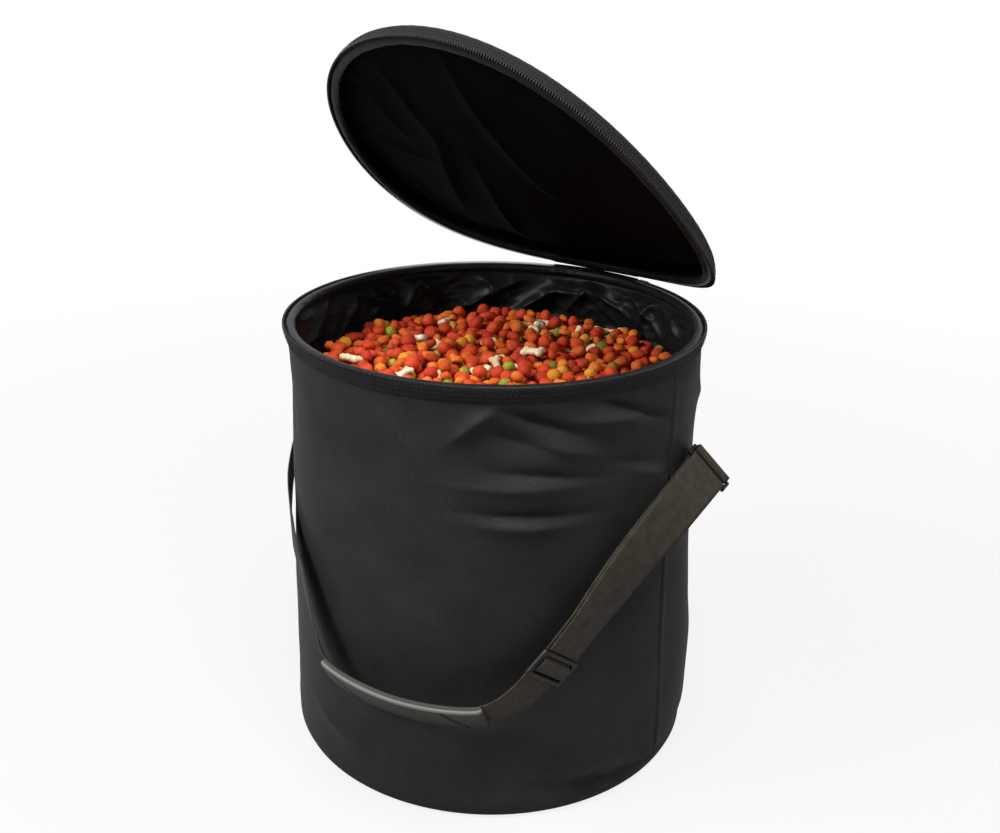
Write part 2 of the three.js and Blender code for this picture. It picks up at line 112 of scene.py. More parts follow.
def tidy_mesh(piece, merge=0.0):
    """Merges doubles where a cloth meets itself and turns every face outwards."""
    make_active(piece)
    bpy.ops.object.mode_set(mode="EDIT")
    bpy.ops.mesh.select_all(action="SELECT")
    if merge:
        bpy.ops.mesh.remove_doubles(threshold=merge)
    bpy.ops.mesh.normals_make_consistent(inside=False)
    bpy.ops.object.mode_set(mode="OBJECT")
    bpy.ops.object.shade_smooth()


def points_of(piece):
    places = np.empty(len(piece.data.vertices) * 3)
    piece.data.vertices.foreach_get("co", places)
    return places.reshape(-1, 3)


def set_points(piece, places):
    piece.data.vertices.foreach_set("co", np.ascontiguousarray(places, dtype=np.float32).ravel())
    piece.data.update()


def cut_cloth(name, columns, rows, place, flat, merge=0.0, spread=None):
    """A flat grid of cloth, flat millimetres wide and long, whose points are then laid where place puts them.

    Spread, where given, sets the rows and columns closer together where the cloth needs more of them.
    """
    deselect_all()
    bpy.ops.mesh.primitive_grid_add(x_subdivisions=columns, y_subdivisions=rows, size=2)
    piece = named(name)
    start = points_of(piece)
    across = (start[:, 0] + 1) / 2
    along = (start[:, 1] + 1) / 2
    if spread is not None:
        across, along = spread(across, along)
    set_points(piece, np.stack(place(across, along), 1) * MM)
    weave = piece.data.uv_layers.active.data
    spots = np.empty(len(weave), np.int32)
    piece.data.loops.foreach_get("vertex_index", spots)
    corners = np.stack([across[spots], along[spots]], 1) * np.array(flat) * MM
    weave.foreach_set("uv", corners.ravel())
    tidy_mesh(piece, merge)
    return piece


def thicken(piece, cloth, offset=-1.0):
    apply_modifier(piece, "SOLIDIFY", thickness=cloth * MM, offset=offset, use_even_offset=True)


def smoothstep(value):
    value = np.clip(value, 0.0, 1.0)
    return value * value * (3 - 2 * value)


def distances(points):
    """How far along its path each point lies."""
    return np.concatenate([[0.0], np.cumsum(np.linalg.norm(np.diff(points, axis=0), axis=1))])


def between(at, reach, rows):
    """Places or directions of a path, taken at distances along it."""
    return np.stack([np.interp(at, reach, rows[:, i]) for i in range(3)], -1)


def set_shade(mesh, values):
    """Each point's own shade, which its material reads."""
    shade = mesh.attributes.new("shade", "FLOAT", "POINT")
    shade.data.foreach_set("value", np.asarray(values, np.float32))


def ripple(x, y, z, size, seed):
    """Soft noise from -1 to 1 at points in millimetres, with lumps about the given size."""
    shift = Vector((seed * 17.31, seed * 7.73, seed * 3.17))
    return np.array([noise.noise(Vector(p) / size + shift) for p in zip(x, y, z)])


def round_ripple(angle, radius, height, size, seed):
    return ripple(np.cos(angle) * radius, np.sin(angle) * radius, height, size, seed)


def turn_cloth(name, columns, rows, profile, shape, sector=(0.0, 360.0), merge=0.0, spread=None):
    """Cloth turned round the bag's axis from a profile of (radius, height), then shaped."""
    profile = np.array(profile, float)
    reach = distances(profile)
    shares = reach / reach[-1]
    span = math.radians(sector[1] - sector[0])

    def place(across, along):
        angle = math.radians(sector[0]) + span * across
        radius = np.interp(along, shares, profile[:, 0])
        height = np.interp(along, shares, profile[:, 1])
        radius, height = shape(angle, along, radius, height)
        return radius * np.cos(angle), radius * np.sin(angle), height

    return cut_cloth(name, columns, rows, place, (span * profile[:, 0].max(), reach[-1]), merge, spread)


def plain_shape(angle, along, radius, height):
    return radius, height


def arc_points(radius, height, size, start, end, steps):
    turns = np.radians(np.linspace(start, end, steps + 1))
    return [(radius + size * math.cos(t), height + size * math.sin(t)) for t in turns]


def repeat_shape(name, source, places, shades=None):
    """One mesh of many copies of a small shape, each put in place by its own matrix in metres."""
    base = points_of(source)
    faces = [list(face.vertices) for face in source.data.polygons]
    count = len(base)
    moved = []
    for place in places:
        matrix = np.array(place)
        moved.append(base @ matrix[:3, :3].T + matrix[:3, 3])
    corners = [[i + count * k for i in face] for k in range(len(places)) for face in faces]
    mesh = bpy.data.meshes.new(name)
    mesh.from_pydata(np.concatenate(moved).tolist(), [], corners)
    if shades is not None:
        set_shade(mesh, np.repeat(shades, count))
    piece = bpy.data.objects.new(name, mesh)
    bpy.context.scene.collection.objects.link(piece)
    make_active(piece)
    bpy.ops.object.shade_smooth()
    return piece


def drop_source(source):
    bpy.data.objects.remove(source)


def basis(x_way, y_way, z_way, place):
    """A matrix in metres from three directions and a place in millimetres."""
    matrix = Matrix.Identity(4)
    for column, way in enumerate((x_way, y_way, z_way)):
        for row in range(3):
            matrix[row][column] = way[row]
    for row in range(3):
        matrix[row][3] = place[row] * MM
    return matrix


def round_basis(angle, radius, height):
    """Directions out, round and up at a place on the bag's round."""
    out = (math.cos(angle), math.sin(angle), 0)
    round_way = (-math.sin(angle), math.cos(angle), 0)
    return basis(out, round_way, (0, 0, 1), (out[0] * radius, out[1] * radius, height))


def wall_radius(height):
    return MOUTH_RADIUS + WALL_SLOPE * (np.minimum(height, WALL_TOP) - WALL_TOP)


# The soft lid: every lid piece is made shut and then bent open about the hinge fold.

def opened(shut, angle):
    y = shut[:, 1] - LID_AXIS_Y
    z = shut[:, 2] - LID_AXIS_Z
    c = np.cos(angle)
    s = np.sin(angle)
    return np.stack([shut[:, 0], LID_AXIS_Y + y * c + z * s, LID_AXIS_Z - y * s + z * c], 1)


def open_lid(piece):
    """Each point turns by its own share of the lid's angle, which the blend gives back when the lid shuts."""
    shut = points_of(piece) / MM
    start = np.array(LID_BEND_START) / MM
    way = np.array(LID_BEND_END) / MM - start
    share = np.full(len(shut), 0.8)
    for _ in range(60):
        rest = opened(shut, share * LID_OPEN)
        wanted = smoothstep((rest - start) @ way / (way @ way))
        share += 0.6 * (wanted - share)
    set_points(piece, opened(shut, share * LID_OPEN) * MM)


def over_parting(piece):
    """Mirrors a rim piece up into the shut lid, where the lid has the same make upside down."""
    places = points_of(piece)
    places[:, 2] = 2 * PARTING * MM - places[:, 2]
    set_points(piece, places)
    make_active(piece)
    bpy.ops.object.mode_set(mode="EDIT")
    bpy.ops.mesh.select_all(action="SELECT")
    bpy.ops.mesh.flip_normals()
    bpy.ops.object.mode_set(mode="OBJECT")


def mount(piece, material, body="bag", stands_for=()):
    """Gives a piece its material, hides the nodes that it stands for, and opens it with the lid or hangs it
    on its body.
    """
    piece.data.materials.clear()
    piece.data.materials.append(material)
    if stands_for:
        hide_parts(*stands_for)
    if body == "lid":
        open_lid(piece)
        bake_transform(piece)
    else:
        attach(piece, body)


# Materials.

def hex_colour(code):
    channels = [int(code[i:i + 2], 16) / 255 for i in (1, 3, 5)]
    linear = [c / 12.92 if c <= 0.04045 else ((c + 0.055) / 1.055) ** 2.4 for c in channels]
    return (*linear, 1.0)


def add_node(tree, kind, inputs, **settings):
    node = tree.nodes.new(kind)
    for name, value in settings.items():
        setattr(node, name, value)
    for name, value in inputs.items():
        socket = node.inputs[name]
        if isinstance(value, bpy.types.NodeSocket):
            tree.links.new(value, socket)
        else:
            socket.default_value = value
    return node


def new_material(name):
    material = bpy.data.materials.new(name)
    material.use_nodes = True
    material.node_tree.nodes.clear()
    return material, material.node_tree


def band_scale(period):
    """The Wave texture's scale for bands a period of millimetres apart on coordinates in metres."""
    return 2 * math.pi / (20 * period * MM)


def lump_scale(size):
    return 1 / (size * MM)


def finish_surface(tree, colour, height, strength, depth, shading):
    """The end of each material: a mix of two colours, a bump of some millimetres and the shader."""
    mixed = add_node(tree, "ShaderNodeMix", colour, data_type="RGBA")
    bump = add_node(tree, "ShaderNodeBump", {"Strength": strength, "Distance": depth * MM, "Height": height})
    shader = add_node(tree, "ShaderNodeBsdfPrincipled", {
        "Base Color": mixed.outputs[2], "Normal": bump.outputs["Normal"], **shading})
    add_node(tree, "ShaderNodeOutputMaterial", {"Surface": shader.outputs["BSDF"]})


def woven_cloth(name, dark, light, thread, roughness, depth, specular, lump=45.0, weave_tone_and_painted_light=0.35):
    """Plain woven cloth: crossing threads catch the light and the face is a little uneven in tone."""
    material, tree = new_material(name)
    coords = add_node(tree, "ShaderNodeTexCoord", {})
    on_cloth = {"Vector": coords.outputs["UV"], "Scale": band_scale(thread)}
    warp = add_node(tree, "ShaderNodeTexWave", on_cloth, bands_direction="X")
    weft = add_node(tree, "ShaderNodeTexWave", on_cloth, bands_direction="Y")
    cross = add_node(tree, "ShaderNodeMath", {0: warp.outputs["Fac"], 1: weft.outputs["Fac"]},
                     operation="MULTIPLY")
    patch = add_node(tree, "ShaderNodeTexNoise", {
        "Vector": coords.outputs["Object"], "Scale": lump_scale(lump), "Detail": 4.0})
    slub = add_node(tree, "ShaderNodeTexNoise", {
        "Vector": coords.outputs["UV"], "Scale": lump_scale(1.6), "Detail": 2.0})
    tone = add_node(tree, "ShaderNodeMath", {0: cross.outputs[0], 1: weave_tone_and_painted_light, 2: patch.outputs["Fac"]},
                    operation="MULTIPLY_ADD")
    blend = add_node(tree, "ShaderNodeMath", {0: tone.outputs[0], 1: slub.outputs["Fac"]},
                     operation="MULTIPLY")
    height = add_node(tree, "ShaderNodeMath", {0: slub.outputs["Fac"], 1: 0.5, 2: cross.outputs[0]},
                      operation="MULTIPLY_ADD")
    finish_surface(tree, {0: blend.outputs[0], 6: hex_colour(dark), 7: hex_colour(light)}, height.outputs[0],
                   0.6, depth, {"Roughness": roughness, "Specular IOR Level": specular})
    return material


def ribbed_cloth(name, dark, light, rib, cord, roughness, depth, direction="X"):
    """Narrow tape or webbing: close ribs across it, crossed by finer cords, with a dusty dull sheen."""
    other = "Y" if direction == "X" else "X"
    material, tree = new_material(name)
    coords = add_node(tree, "ShaderNodeTexCoord", {})
    ribs = add_node(tree, "ShaderNodeTexWave", {
        "Vector": coords.outputs["UV"], "Scale": band_scale(rib), "Distortion": 0.4, "Detail": 1.0},
        bands_direction=direction)
    cords = add_node(tree, "ShaderNodeTexWave", {"Vector": coords.outputs["UV"], "Scale": band_scale(cord)},
                     bands_direction=other)
    dust = add_node(tree, "ShaderNodeTexNoise", {
        "Vector": coords.outputs["UV"], "Scale": lump_scale(9.0), "Detail": 5.0})
    height = add_node(tree, "ShaderNodeMath", {0: cords.outputs["Fac"], 1: 0.35, 2: ribs.outputs["Fac"]},
                      operation="MULTIPLY_ADD")
    tone = add_node(tree, "ShaderNodeMath", {0: height.outputs[0], 1: dust.outputs["Fac"]},
                    operation="MULTIPLY")
    finish_surface(tree, {0: tone.outputs[0], 6: hex_colour(dark), 7: hex_colour(light)}, height.outputs[0],
                   0.8, depth, {"Roughness": roughness, "Specular IOR Level": 0.15})
    return material


def moulded(name, dark, light, roughness, grain, depth, metallic=0.0, specular=0.5, shaded=False):
    """Moulded plastic, rubber or drawn wire: a fine even grain and slightly uneven gloss.

    A shaded one takes its colour from the piece's own shade, into which light and shade are painted: a
    painted highlight along a lit edge and painted shade in its cuts.
    """
    material, tree = new_material(name)
    coords = add_node(tree, "ShaderNodeTexCoord", {})
    grit = add_node(tree, "ShaderNodeTexNoise", {
        "Vector": coords.outputs["Object"], "Scale": lump_scale(grain), "Detail": 3.0})
    smear = add_node(tree, "ShaderNodeTexNoise", {
        "Vector": coords.outputs["Object"], "Scale": lump_scale(14.0), "Detail": 4.0})
    tone = smear.outputs["Fac"]
    if shaded:
        tone = add_node(tree, "ShaderNodeAttribute", {}, attribute_name="shade").outputs["Fac"]
    gloss = add_node(tree, "ShaderNodeMath", {0: smear.outputs["Fac"], 1: 0.15, 2: roughness - 0.07},
                     operation="MULTIPLY_ADD")
    finish_surface(tree, {0: tone, 6: hex_colour(dark), 7: hex_colour(light)}, grit.outputs["Fac"],
                   0.5, depth, {"Roughness": gloss.outputs[0], "Metallic": metallic,
                                "Specular IOR Level": specular})
    return material


def baked_food(name, dark, light, speck):
    """Baked pellets: matt, mealy crust with darker specks, each pellet its own shade."""
    material, tree = new_material(name)
    coords = add_node(tree, "ShaderNodeTexCoord", {})
    shade = add_node(tree, "ShaderNodeAttribute", {}, attribute_name="shade")
    meal = add_node(tree, "ShaderNodeTexNoise", {
        "Vector": coords.outputs["Object"], "Scale": lump_scale(2.2), "Detail": 5.0, "Roughness": 0.65})
    crumbs = add_node(tree, "ShaderNodeTexVoronoi", {
        "Vector": coords.outputs["Object"], "Scale": lump_scale(2.6)})
    base = add_node(tree, "ShaderNodeMix", {
        0: shade.outputs["Fac"], 6: hex_colour(dark), 7: hex_colour(light)}, data_type="RGBA")
    fleck = add_node(tree, "ShaderNodeMapRange", {
        "Value": meal.outputs["Fac"], 1: 0.5, 2: 0.72, 3: 0.0, 4: 0.7})
    height = add_node(tree, "ShaderNodeMath", {0: crumbs.outputs["Distance"], 1: 0.5, 2: meal.outputs["Fac"]},
                      operation="MULTIPLY_ADD")
    finish_surface(tree, {0: fleck.outputs[0], 6: base.outputs[2], 7: hex_colour(speck)}, height.outputs[0],
                   0.7, 0.8, {"Roughness": 0.72, "Specular IOR Level": 0.3})
    return material


# Threads of 600 denier polyester are about 0.5 mm apart, drawn coarser so that they show.
OXFORD = woven_cloth("oxford_polyester", "#1d1d1d", "#3a3a3a", 1.3, 0.45, 0.1, 0.03)
# Nylon taffeta is so fine that it reads as a smooth skin with soft bright folds.
TAFFETA = woven_cloth("nylon_taffeta", "#101010", "#212122", 0.9, 0.38, 0.03, 0.07, lump=60.0)
# The lid's lining is a darker copy of the same taffeta: painted shade for the lid's underside.
SHADED_LID_TAFFETA = woven_cloth("nylon_taffeta_lid_painted_shade", "#060606", "#121212", 0.9, 0.45, 0.03, 0.004, lump=60.0)
SATIN = woven_cloth("satin_binding", "#101112", "#2b2d2f", 0.9, 0.36, 0.05, 0.08, lump=12.0)
# Zip tape and webbing are woven with ribs about 1 mm apart, drawn a little coarser.
ZIP_TAPE = ribbed_cloth("zip_tape_weave", "#0b0b0b", "#1e1e1d", 1.8, 1.2, 0.7, 0.25)
WEBBING = ribbed_cloth("polypropylene_webbing", "#14110e", "#4b4338", 2.0, 1.5, 0.62, 0.3, direction="Y")
NYLON = moulded("nylon_coil", "#101010", "#1e1e1e", 0.42, 0.8, 0.05, specular=0.2)
ACETAL = moulded("acetal_plastic", "#0d0d0d", "#191919", 0.34, 0.7, 0.03, specular=0.16)
# The grip's rubber runs from painted shade, dark in its slits, to a painted highlight, light along its top
# edge.
RUBBER = moulded("grip_rubber", "#080808", "#6e6e68", 0.6, 0.9, 0.12, specular=0.1, shaded=True)
SPRING_STEEL = moulded("spring_steel", "#80807d", "#97978f", 0.35, 0.6, 0.02, metallic=1.0)
THREAD = moulded("polyester_thread", "#0e0e0e", "#1c1c1b", 0.6, 0.4, 0.08, specular=0.15)
RED_FOOD = baked_food("baked_red_kibble", "#a8260f", "#cf4a1e", "#8a1d0a")
ORANGE_FOOD = baked_food("baked_orange_kibble", "#b8400f", "#e07a24", "#9a3009")
GREEN_FOOD = baked_food("baked_green_kibble", "#6b6516", "#9c9830", "#4a4712")
GOLD_FOOD = baked_food("baked_gold_kibble", "#c4741a", "#dc9a2e", "#8a4a12")
BONE_FOOD = baked_food("baked_bone_biscuit", "#d8bd92", "#eedcbb", "#b08a5a")
BROWN_FOOD = baked_food("baked_brown_kibble", "#7a3413", "#a5561f", "#4a200c")


# The bag's wall: one cloth turned up from the base hem to the zip.

# Each crease runs between two places on the wall (degrees round, height); then half width and depth in mm.
CREASES = [
    (-54, 381, -36, 358, 4.5, -4.2), (-36, 367, -14, 362, 9.0, 3.2), (-31, 384, -9, 354, 4.0, -3.6),
    (-66, 354, -55, 384, 7.0, 3.0), (-59, 363, -42, 345, 9.0, -3.0), (-47, 352, -28, 336, 8.0, 2.2),
    (-60, 293, -33, 288, 4.5, -2.6), (-59, 284, -38, 280, 6.0, 2.2), (-63, 316, -36, 314, 8.0, 2.2),
    (-54, 328, -30, 318, 5.0, -2.4), (-26, 330, -8, 312, 8.0, -2.0), (-20, 318, -4, 298, 8.0, 2.0),
    (-40, 36, -4, 23, 3.6, 2.6), (-38, 30, -6, 15, 3.6, -2.2), (-72, 18, -40, 12, 4.0, 1.2),
    (-106, 352, -92, 300, 16.0, -0.7), (-84, 372, -74, 330, 9.0, 1.6), (-112, 62, -94, 44, 7.0, 1.4),
    (-140, 362, -127, 310, 9.0, -1.6), (134, 270, 166, 330, 10.0, 1.8), (106, 372, 134, 316, 9.0, -1.6),
    (78, 310, 112, 350, 9.0, 1.8), (47, 300, 73, 370, 9.0, -2.0), (21, 351, 49, 289, 9.0, 1.6),
    (59, 48, 101, 72, 7.0, -1.4), (174, 55, 216, 35, 7.0, -1.4), (182, 330, 205, 292, 9.0, 1.6),
]


CREASE_GAIN = 2.7
CREASE_SHARPNESS = 1.15
# Slack places on the wall: middle and half width in degrees, middle and half height, and depth in mm.
SLACK = [(28, 36, 85, 70, 5.0), (-140, 16, 250, 120, -2.0)]
SEAMS = (SIDE_SEAM, SIDE_SEAM + 180.0)


def wrapped(angle):
    return (angle + math.pi) % (2 * math.pi) - math.pi


def fold_line(x, y, start, end, half_width, sharp):
    """How near each point is to a fold that runs from start to end: 1 on the fold, 0 far from it."""
    run = np.array(end) - np.array(start)
    half_length = np.hypot(*run) / 2
    run = run / (2 * half_length)
    x = x - (start[0] + end[0]) / 2
    y = y - (start[1] + end[1]) / 2
    lengthwise = (x * run[0] + y * run[1]) / half_length
    sideways = (y * run[0] - x * run[1]) / half_width
    return np.exp(-lengthwise ** 2 - np.abs(sideways) ** sharp)


def round_fold(angle, radius, height, fold, sharp):
    """The same on the bag's round, for a fold between two places given by degrees and height."""
    turn_from, level_from, turn_to, level_to, half_width, depth = fold
    middle = math.radians((turn_from + turn_to) / 2)
    reach = math.radians(turn_to - turn_from) / 2 * MOUTH_RADIUS
    around = wrapped(angle - middle) * radius
    return depth * fold_line(around, height, (-reach, level_from), (reach, level_to), half_width, sharp)


def wall_swell(angle, radius, height):
    """How far the wall stands out from its plain cone: ripples, creases, slack and the two side seams."""
    free = smoothstep((height - 10) / 22) * smoothstep((387 - height) / 14)
    swell = 2.0 * round_ripple(angle, radius, height, 130.0, 1)
    swell = swell + 1.4 * round_ripple(angle, radius, height, 55.0, 2)
    for fold in CREASES:
        swell = swell + CREASE_GAIN * round_fold(angle, radius, height, fold, CREASE_SHARPNESS)
    for turn, wide, level, tall, depth in SLACK:
        off = wrapped(angle - math.radians(turn)) / math.radians(wide)
        swell = swell + depth * np.exp(-off ** 2 - ((height - level) / tall) ** 2)
    for seam in SEAMS:
        run = wrapped(angle - math.radians(seam)) * radius
        swell = swell + 0.6 * np.exp(-((run - 4) / 3.2) ** 2) - 1.6 * np.exp(-(run / 1.1) ** 2)
    return swell * free


def wall_shape(angle, along, radius, height):
    return radius + wall_swell(angle, radius, height), height


def build_wall():
    profile = [(HEM_RADIUS + 0.2, 0.2), (BASE_RADIUS - BASE_CORNER, 0.2)]
    profile += arc_points(BASE_RADIUS - BASE_CORNER, BASE_CORNER + 0.2, BASE_CORNER, -80, 0, 8)
    profile.append((MOUTH_RADIUS, WALL_TOP))
    turns = set(np.round(np.linspace(-80, 20, 131), 3)) | set(np.round(np.linspace(-90, 270, 161), 3))
    for seam in SEAMS:
        turns |= set(np.round(seam + np.linspace(-3.0, 3.0, 17), 3))
    turns = (np.array(sorted(turns)) + 90) / 360
    rises = np.concatenate([np.linspace(0, 0.64, 62), np.linspace(0.64, 1, 67)[1:]])

    def spread(across, along):
        return (np.interp(across, np.linspace(0, 1, len(turns)), turns),
                np.interp(along, np.linspace(0, 1, len(rises)), rises))

    wall = turn_cloth("bag_wall", len(turns) - 1, len(rises) - 1, profile, wall_shape,
                      sector=(-90.0, 270.0), merge=SEAM_MERGE, spread=spread)
    thicken(wall, WALL_CLOTH)
    mount(wall, OXFORD, stands_for=("body_wall",))


def build_base():
    def shape(angle, along, radius, height):
        dimple = 0.35 * round_ripple(angle, radius, height, 70.0, 5)
        return radius, height + np.clip(dimple, 0, 1) * (radius < HEM_RADIUS - 6)

    base = turn_cloth("base_cloth", 144, 30, [(0.0, 0.5), (HEM_RADIUS - 0.4, 0.5)], shape, merge=SEAM_MERGE)
    thicken(base, 1.8, offset=1.0)
    mount(base, OXFORD, stands_for=("base_panel",))


# The lining inside the wall, loose above the food.

# Each fold runs between two places on the lining (degrees round, height); then half width and depth in mm.
LINING_FOLDS = [
    (140, 348, 115, 385, 4.5, 9.0), (119, 348, 104, 375, 5.0, 10.0), (105, 375, 91, 378, 5.0, 9.0),
    (91, 385, 82, 355, 4.0, 9.0), (92, 386, 74, 364, 4.0, 8.0), (91, 384, 99, 356, 4.0, 7.0),
    (175, 385, 182, 350, 5.0, 9.0), (170, 377, 156, 365, 3.5, 6.0), (150, 383, 159, 354, 4.0, 8.0),
    (150, 383, 141, 360, 4.0, 7.0), (128, 384, 120, 362, 4.0, 6.0), (73, 386, 60, 360, 4.5, 8.0),
    (53, 387, 44, 362, 4.5, 7.0), (64, 384, 70, 358, 4.0, 6.0), (36, 384, 24, 360, 5.0, 6.0),
    (14, 380, 2, 358, 5.0, 6.0), (190, 384, 204, 356, 5.0, 7.0), (214, 360, 232, 382, 5.0, 6.0),
    (242, 382, 256, 358, 5.0, 5.0), (270, 360, 288, 382, 5.0, 5.0), (302, 382, 316, 358, 5.0, 5.0),
    (330, 360, 346, 382, 5.0, 5.0),
]


def crumple(angle, radius, height, size, seed):
    """Sharp ridges where soft noise passes through zero, like creases in a thin cloth."""
    return 1 - 3.2 * np.abs(round_ripple(angle, radius, height, size, seed))


def lining_shape(angle, along, radius, height):
    loose = smoothstep((390 - height) / 9) * smoothstep((height - 334) / 12)
    warp = 10 * round_ripple(angle, radius, height, 30.0, 11)
    fold = 2.0 + 2.2 * crumple(angle, radius, height + warp, 40.0, 12)
    fold = fold + 1.0 * crumple(angle, radius, 1.5 * height + warp, 17.0, 13)
    for line in LINING_FOLDS:
        fold = fold + round_fold(angle, radius, height + 0.3 * warp, line, 1.1)
    dent = np.minimum(wall_swell(angle, radius, height), 0.0)
    return radius + dent - np.clip(fold, -0.5, 13.0) * loose, height


def build_lining():
    profile = [(SLEEVE_RING + 0.4, 391.5), (180.4, 389.0), (180.4, 348.0), (174.0, 333.0)]
    lining = turn_cloth("lining_wall", 640, 44, profile, lining_shape, merge=SEAM_MERGE)
    thicken(lining, 0.6, offset=0.0)
    mount(lining, TAFFETA, stands_for=("lining",))
    cup = turn_cloth("lining_cup", 120, 24, [(174.0, 334.0), (178.0, 10.0), (172.0, 5.0), (0.0, 5.0)],
                     plain_shape, merge=SEAM_MERGE)
    thicken(cup, 0.6, offset=0.0)
    mount(cup, TAFFETA)


# The rim: a hoop sleeve of satin, the zip tape outside it and the zip's coil on top.

def sleeve_shape(angle, along, radius, height):
    depth = radius - SLEEVE_RING
    rise = height - SLEEVE_CENTRE
    turn = np.arctan2(rise, depth)
    lump = round_ripple(angle, SLEEVE_RING + depth * 2, height * 2, 16.0, 21)
    crimp = crumple(angle, SLEEVE_RING, 7.0 * turn, 9.0, 22)
    hinge = smoothstep((math.radians(17) - np.abs(wrapped(angle - math.pi / 2))) / math.radians(3))
    sewn = np.exp(-((turn - math.pi / 2) / 0.8) ** 2)
    size = SLEEVE_RADIUS - 0.2 + (1 - sewn) * (0.5 * lump + (0.4 - 0.2 * hinge) * crimp) - 0.35 * sewn
    size = size + hinge * 0.8 * np.sin(6.5 * turn + 3 * round_ripple(angle, SLEEVE_RING, height, 40.0, 23))
    return SLEEVE_RING + size * np.cos(turn), SLEEVE_CENTRE + size * np.sin(turn)


def build_sleeves():
    section = arc_points(SLEEVE_RING, SLEEVE_CENTRE, SLEEVE_RADIUS, -90, 270, 20)
    rim = turn_cloth("rim_binding", 720, 20, section, sleeve_shape, merge=SEAM_MERGE)
    mount(rim, SATIN, stands_for=("rim_sleeve",))
    lid = turn_cloth("lid_binding", 720, 20, section, sleeve_shape, merge=SEAM_MERGE)
    over_parting(lid)
    mount(lid, SATIN, body="lid", stands_for=("lid_sleeve",))
    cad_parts["rim_hoop"].data.materials.clear()
    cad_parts["rim_hoop"].data.materials.append(SPRING_STEEL)
    wire = turn_cloth("lid_wire", 180, 10, arc_points(SLEEVE_RING, SLEEVE_CENTRE, 2.2, 0, 360, 10),
                      plain_shape, merge=SEAM_MERGE)
    over_parting(wire)
    mount(wire, SPRING_STEEL, body="lid", stands_for=("lid_hoop",))


TAPE_PROFILE = [
    (183.7, 385.6), (184.1, 387.4), (185.0, 390.6), (186.2, 394.0), (186.7, 396.4), (186.4, 397.4),
]
COIL_RADIUS = 186.1
COIL_HEIGHT = 398.4
COIL_PITCH = 2.3
STITCH_PITCH = 4.2
# Two rows of stitches on the tape: the end of each row's name, its radius and its height.
STITCH_ROWS = (("", 184.9, 388.9), ("_upper", 186.3, 392.9))


def tape_shape(angle, along, radius, height):
    slack = smoothstep((height - 386) / 4)
    wave = 0.5 * round_ripple(angle, radius, height * 0.4, 45.0, 31)
    wave = wave + 0.2 * round_ripple(angle, radius, height, 14.0, 32)
    return radius + wave * slack, height


def tooth():
    """One turn of the zip's coil: a small block with rounded edges, a little narrower at its tip."""
    deselect_all()
    bpy.ops.mesh.primitive_cube_add(size=1)
    source = named("coil_turn")
    places = points_of(source) * np.array([2.2, 1.5, 3.0]) * MM
    places[:, 1] *= np.where(places[:, 2] > 0, 0.7, 1.0)
    set_points(source, places)
    apply_modifier(source, "BEVEL", width=0.55 * MM, segments=2)
    return source


def stitch(length, radius):
    """One stitch of thread: a short rod whose ends dip into the cloth."""
    deselect_all()
    bpy.ops.mesh.primitive_cylinder_add(vertices=6, radius=radius * MM, depth=length * MM)
    source = named("thread_stitch")
    apply_modifier(source, "BEVEL", width=radius * 0.7 * MM, segments=1)
    return source


def round_places(sector, radius, height, pitch):
    """Places about a pitch apart round the rim, from one end of a sector to the other."""
    start, end = (math.radians(turn) for turn in sector)
    count = int((end - start) * radius / pitch)
    return [round_basis(start + (end - start) * (k + 0.5) / count, radius, height) for k in range(count)]


def build_zip():
    one_turn = tooth()
    thread = stitch(2.6, 0.3)
    lying = Matrix.Rotation(math.radians(90), 4, "X")
    halves = (("bag", "body", BAG_ZIP_TO, "rim_hoop"), ("lid", "lid", LID_ZIP_TO, "lid_hoop"))
    for body, node, end, hoop in halves:
        sector = (ZIP_FROM, end)
        tape = turn_cloth(f"{body}_tape_band", 400, 10, TAPE_PROFILE, tape_shape, sector=sector)
        thicken(tape, 1.0)
        coil = repeat_shape(f"{body}_zip_teeth", one_turn,
                            round_places(sector, COIL_RADIUS, COIL_HEIGHT, COIL_PITCH))
        seams = []
        for row, radius, height in STITCH_ROWS:
            places = [place @ lying for place in round_places(sector, radius, height, STITCH_PITCH)]
            seams.append(repeat_shape(f"{body}_tape_stitches{row}", thread, places))
        if body == "lid":
            for piece in (tape, coil, *seams):
                over_parting(piece)
        mount(tape, ZIP_TAPE, body=body, stands_for=(f"{node}_zip_tape",))
        mount(coil, NYLON, body=body, stands_for=(f"{node}_zip_coil",))
        for seam in seams:
            mount(seam, THREAD, body=body)
    drop_source(one_turn)
    drop_source(thread)


# The lid's cloth: a cover outside and a loose lining inside.

def cover_shape(angle, along, radius, height):
    middle = smoothstep((170 - radius) / 60)
    sag = 1.2 * round_ripple(angle, radius, height, 90.0, 41) * middle
    pucker = 0.1 * np.sin(angle * 96 + 3 * round_ripple(angle, 180.0, 0 * height, 40.0, 42))
    edge = np.exp(-((radius - 180) / 5) ** 2)
    return radius + pucker * edge, height + sag + 0.3 * pucker * edge


# Each fold runs between two places on the shut lid (x, y); then half width and depth in mm.
LID_FOLDS = [
    (-86, -128, -66, -46, 8.0, 4.2), (-64, -56, -112, 108, 11.0, 4.6), (-4, -158, 5, -86, 8.0, 3.6),
    (2, -100, 28, -26, 8.0, 4.6), (22, -38, 82, 52, 8.0, 4.8), (-40, 0, -60, 165, 8.0, 4.2),
    (-162, -28, -96, -12, 7.0, 4.6), (82, -122, 126, -54, 9.0, 3.0), (-152, 8, -126, 112, 7.0, 3.4),
    (40, 90, 96, 132, 9.0, 2.4), (-120, -96, -104, -40, 7.0, 3.0), (112, 10, 150, 60, 9.0, 2.4),
]


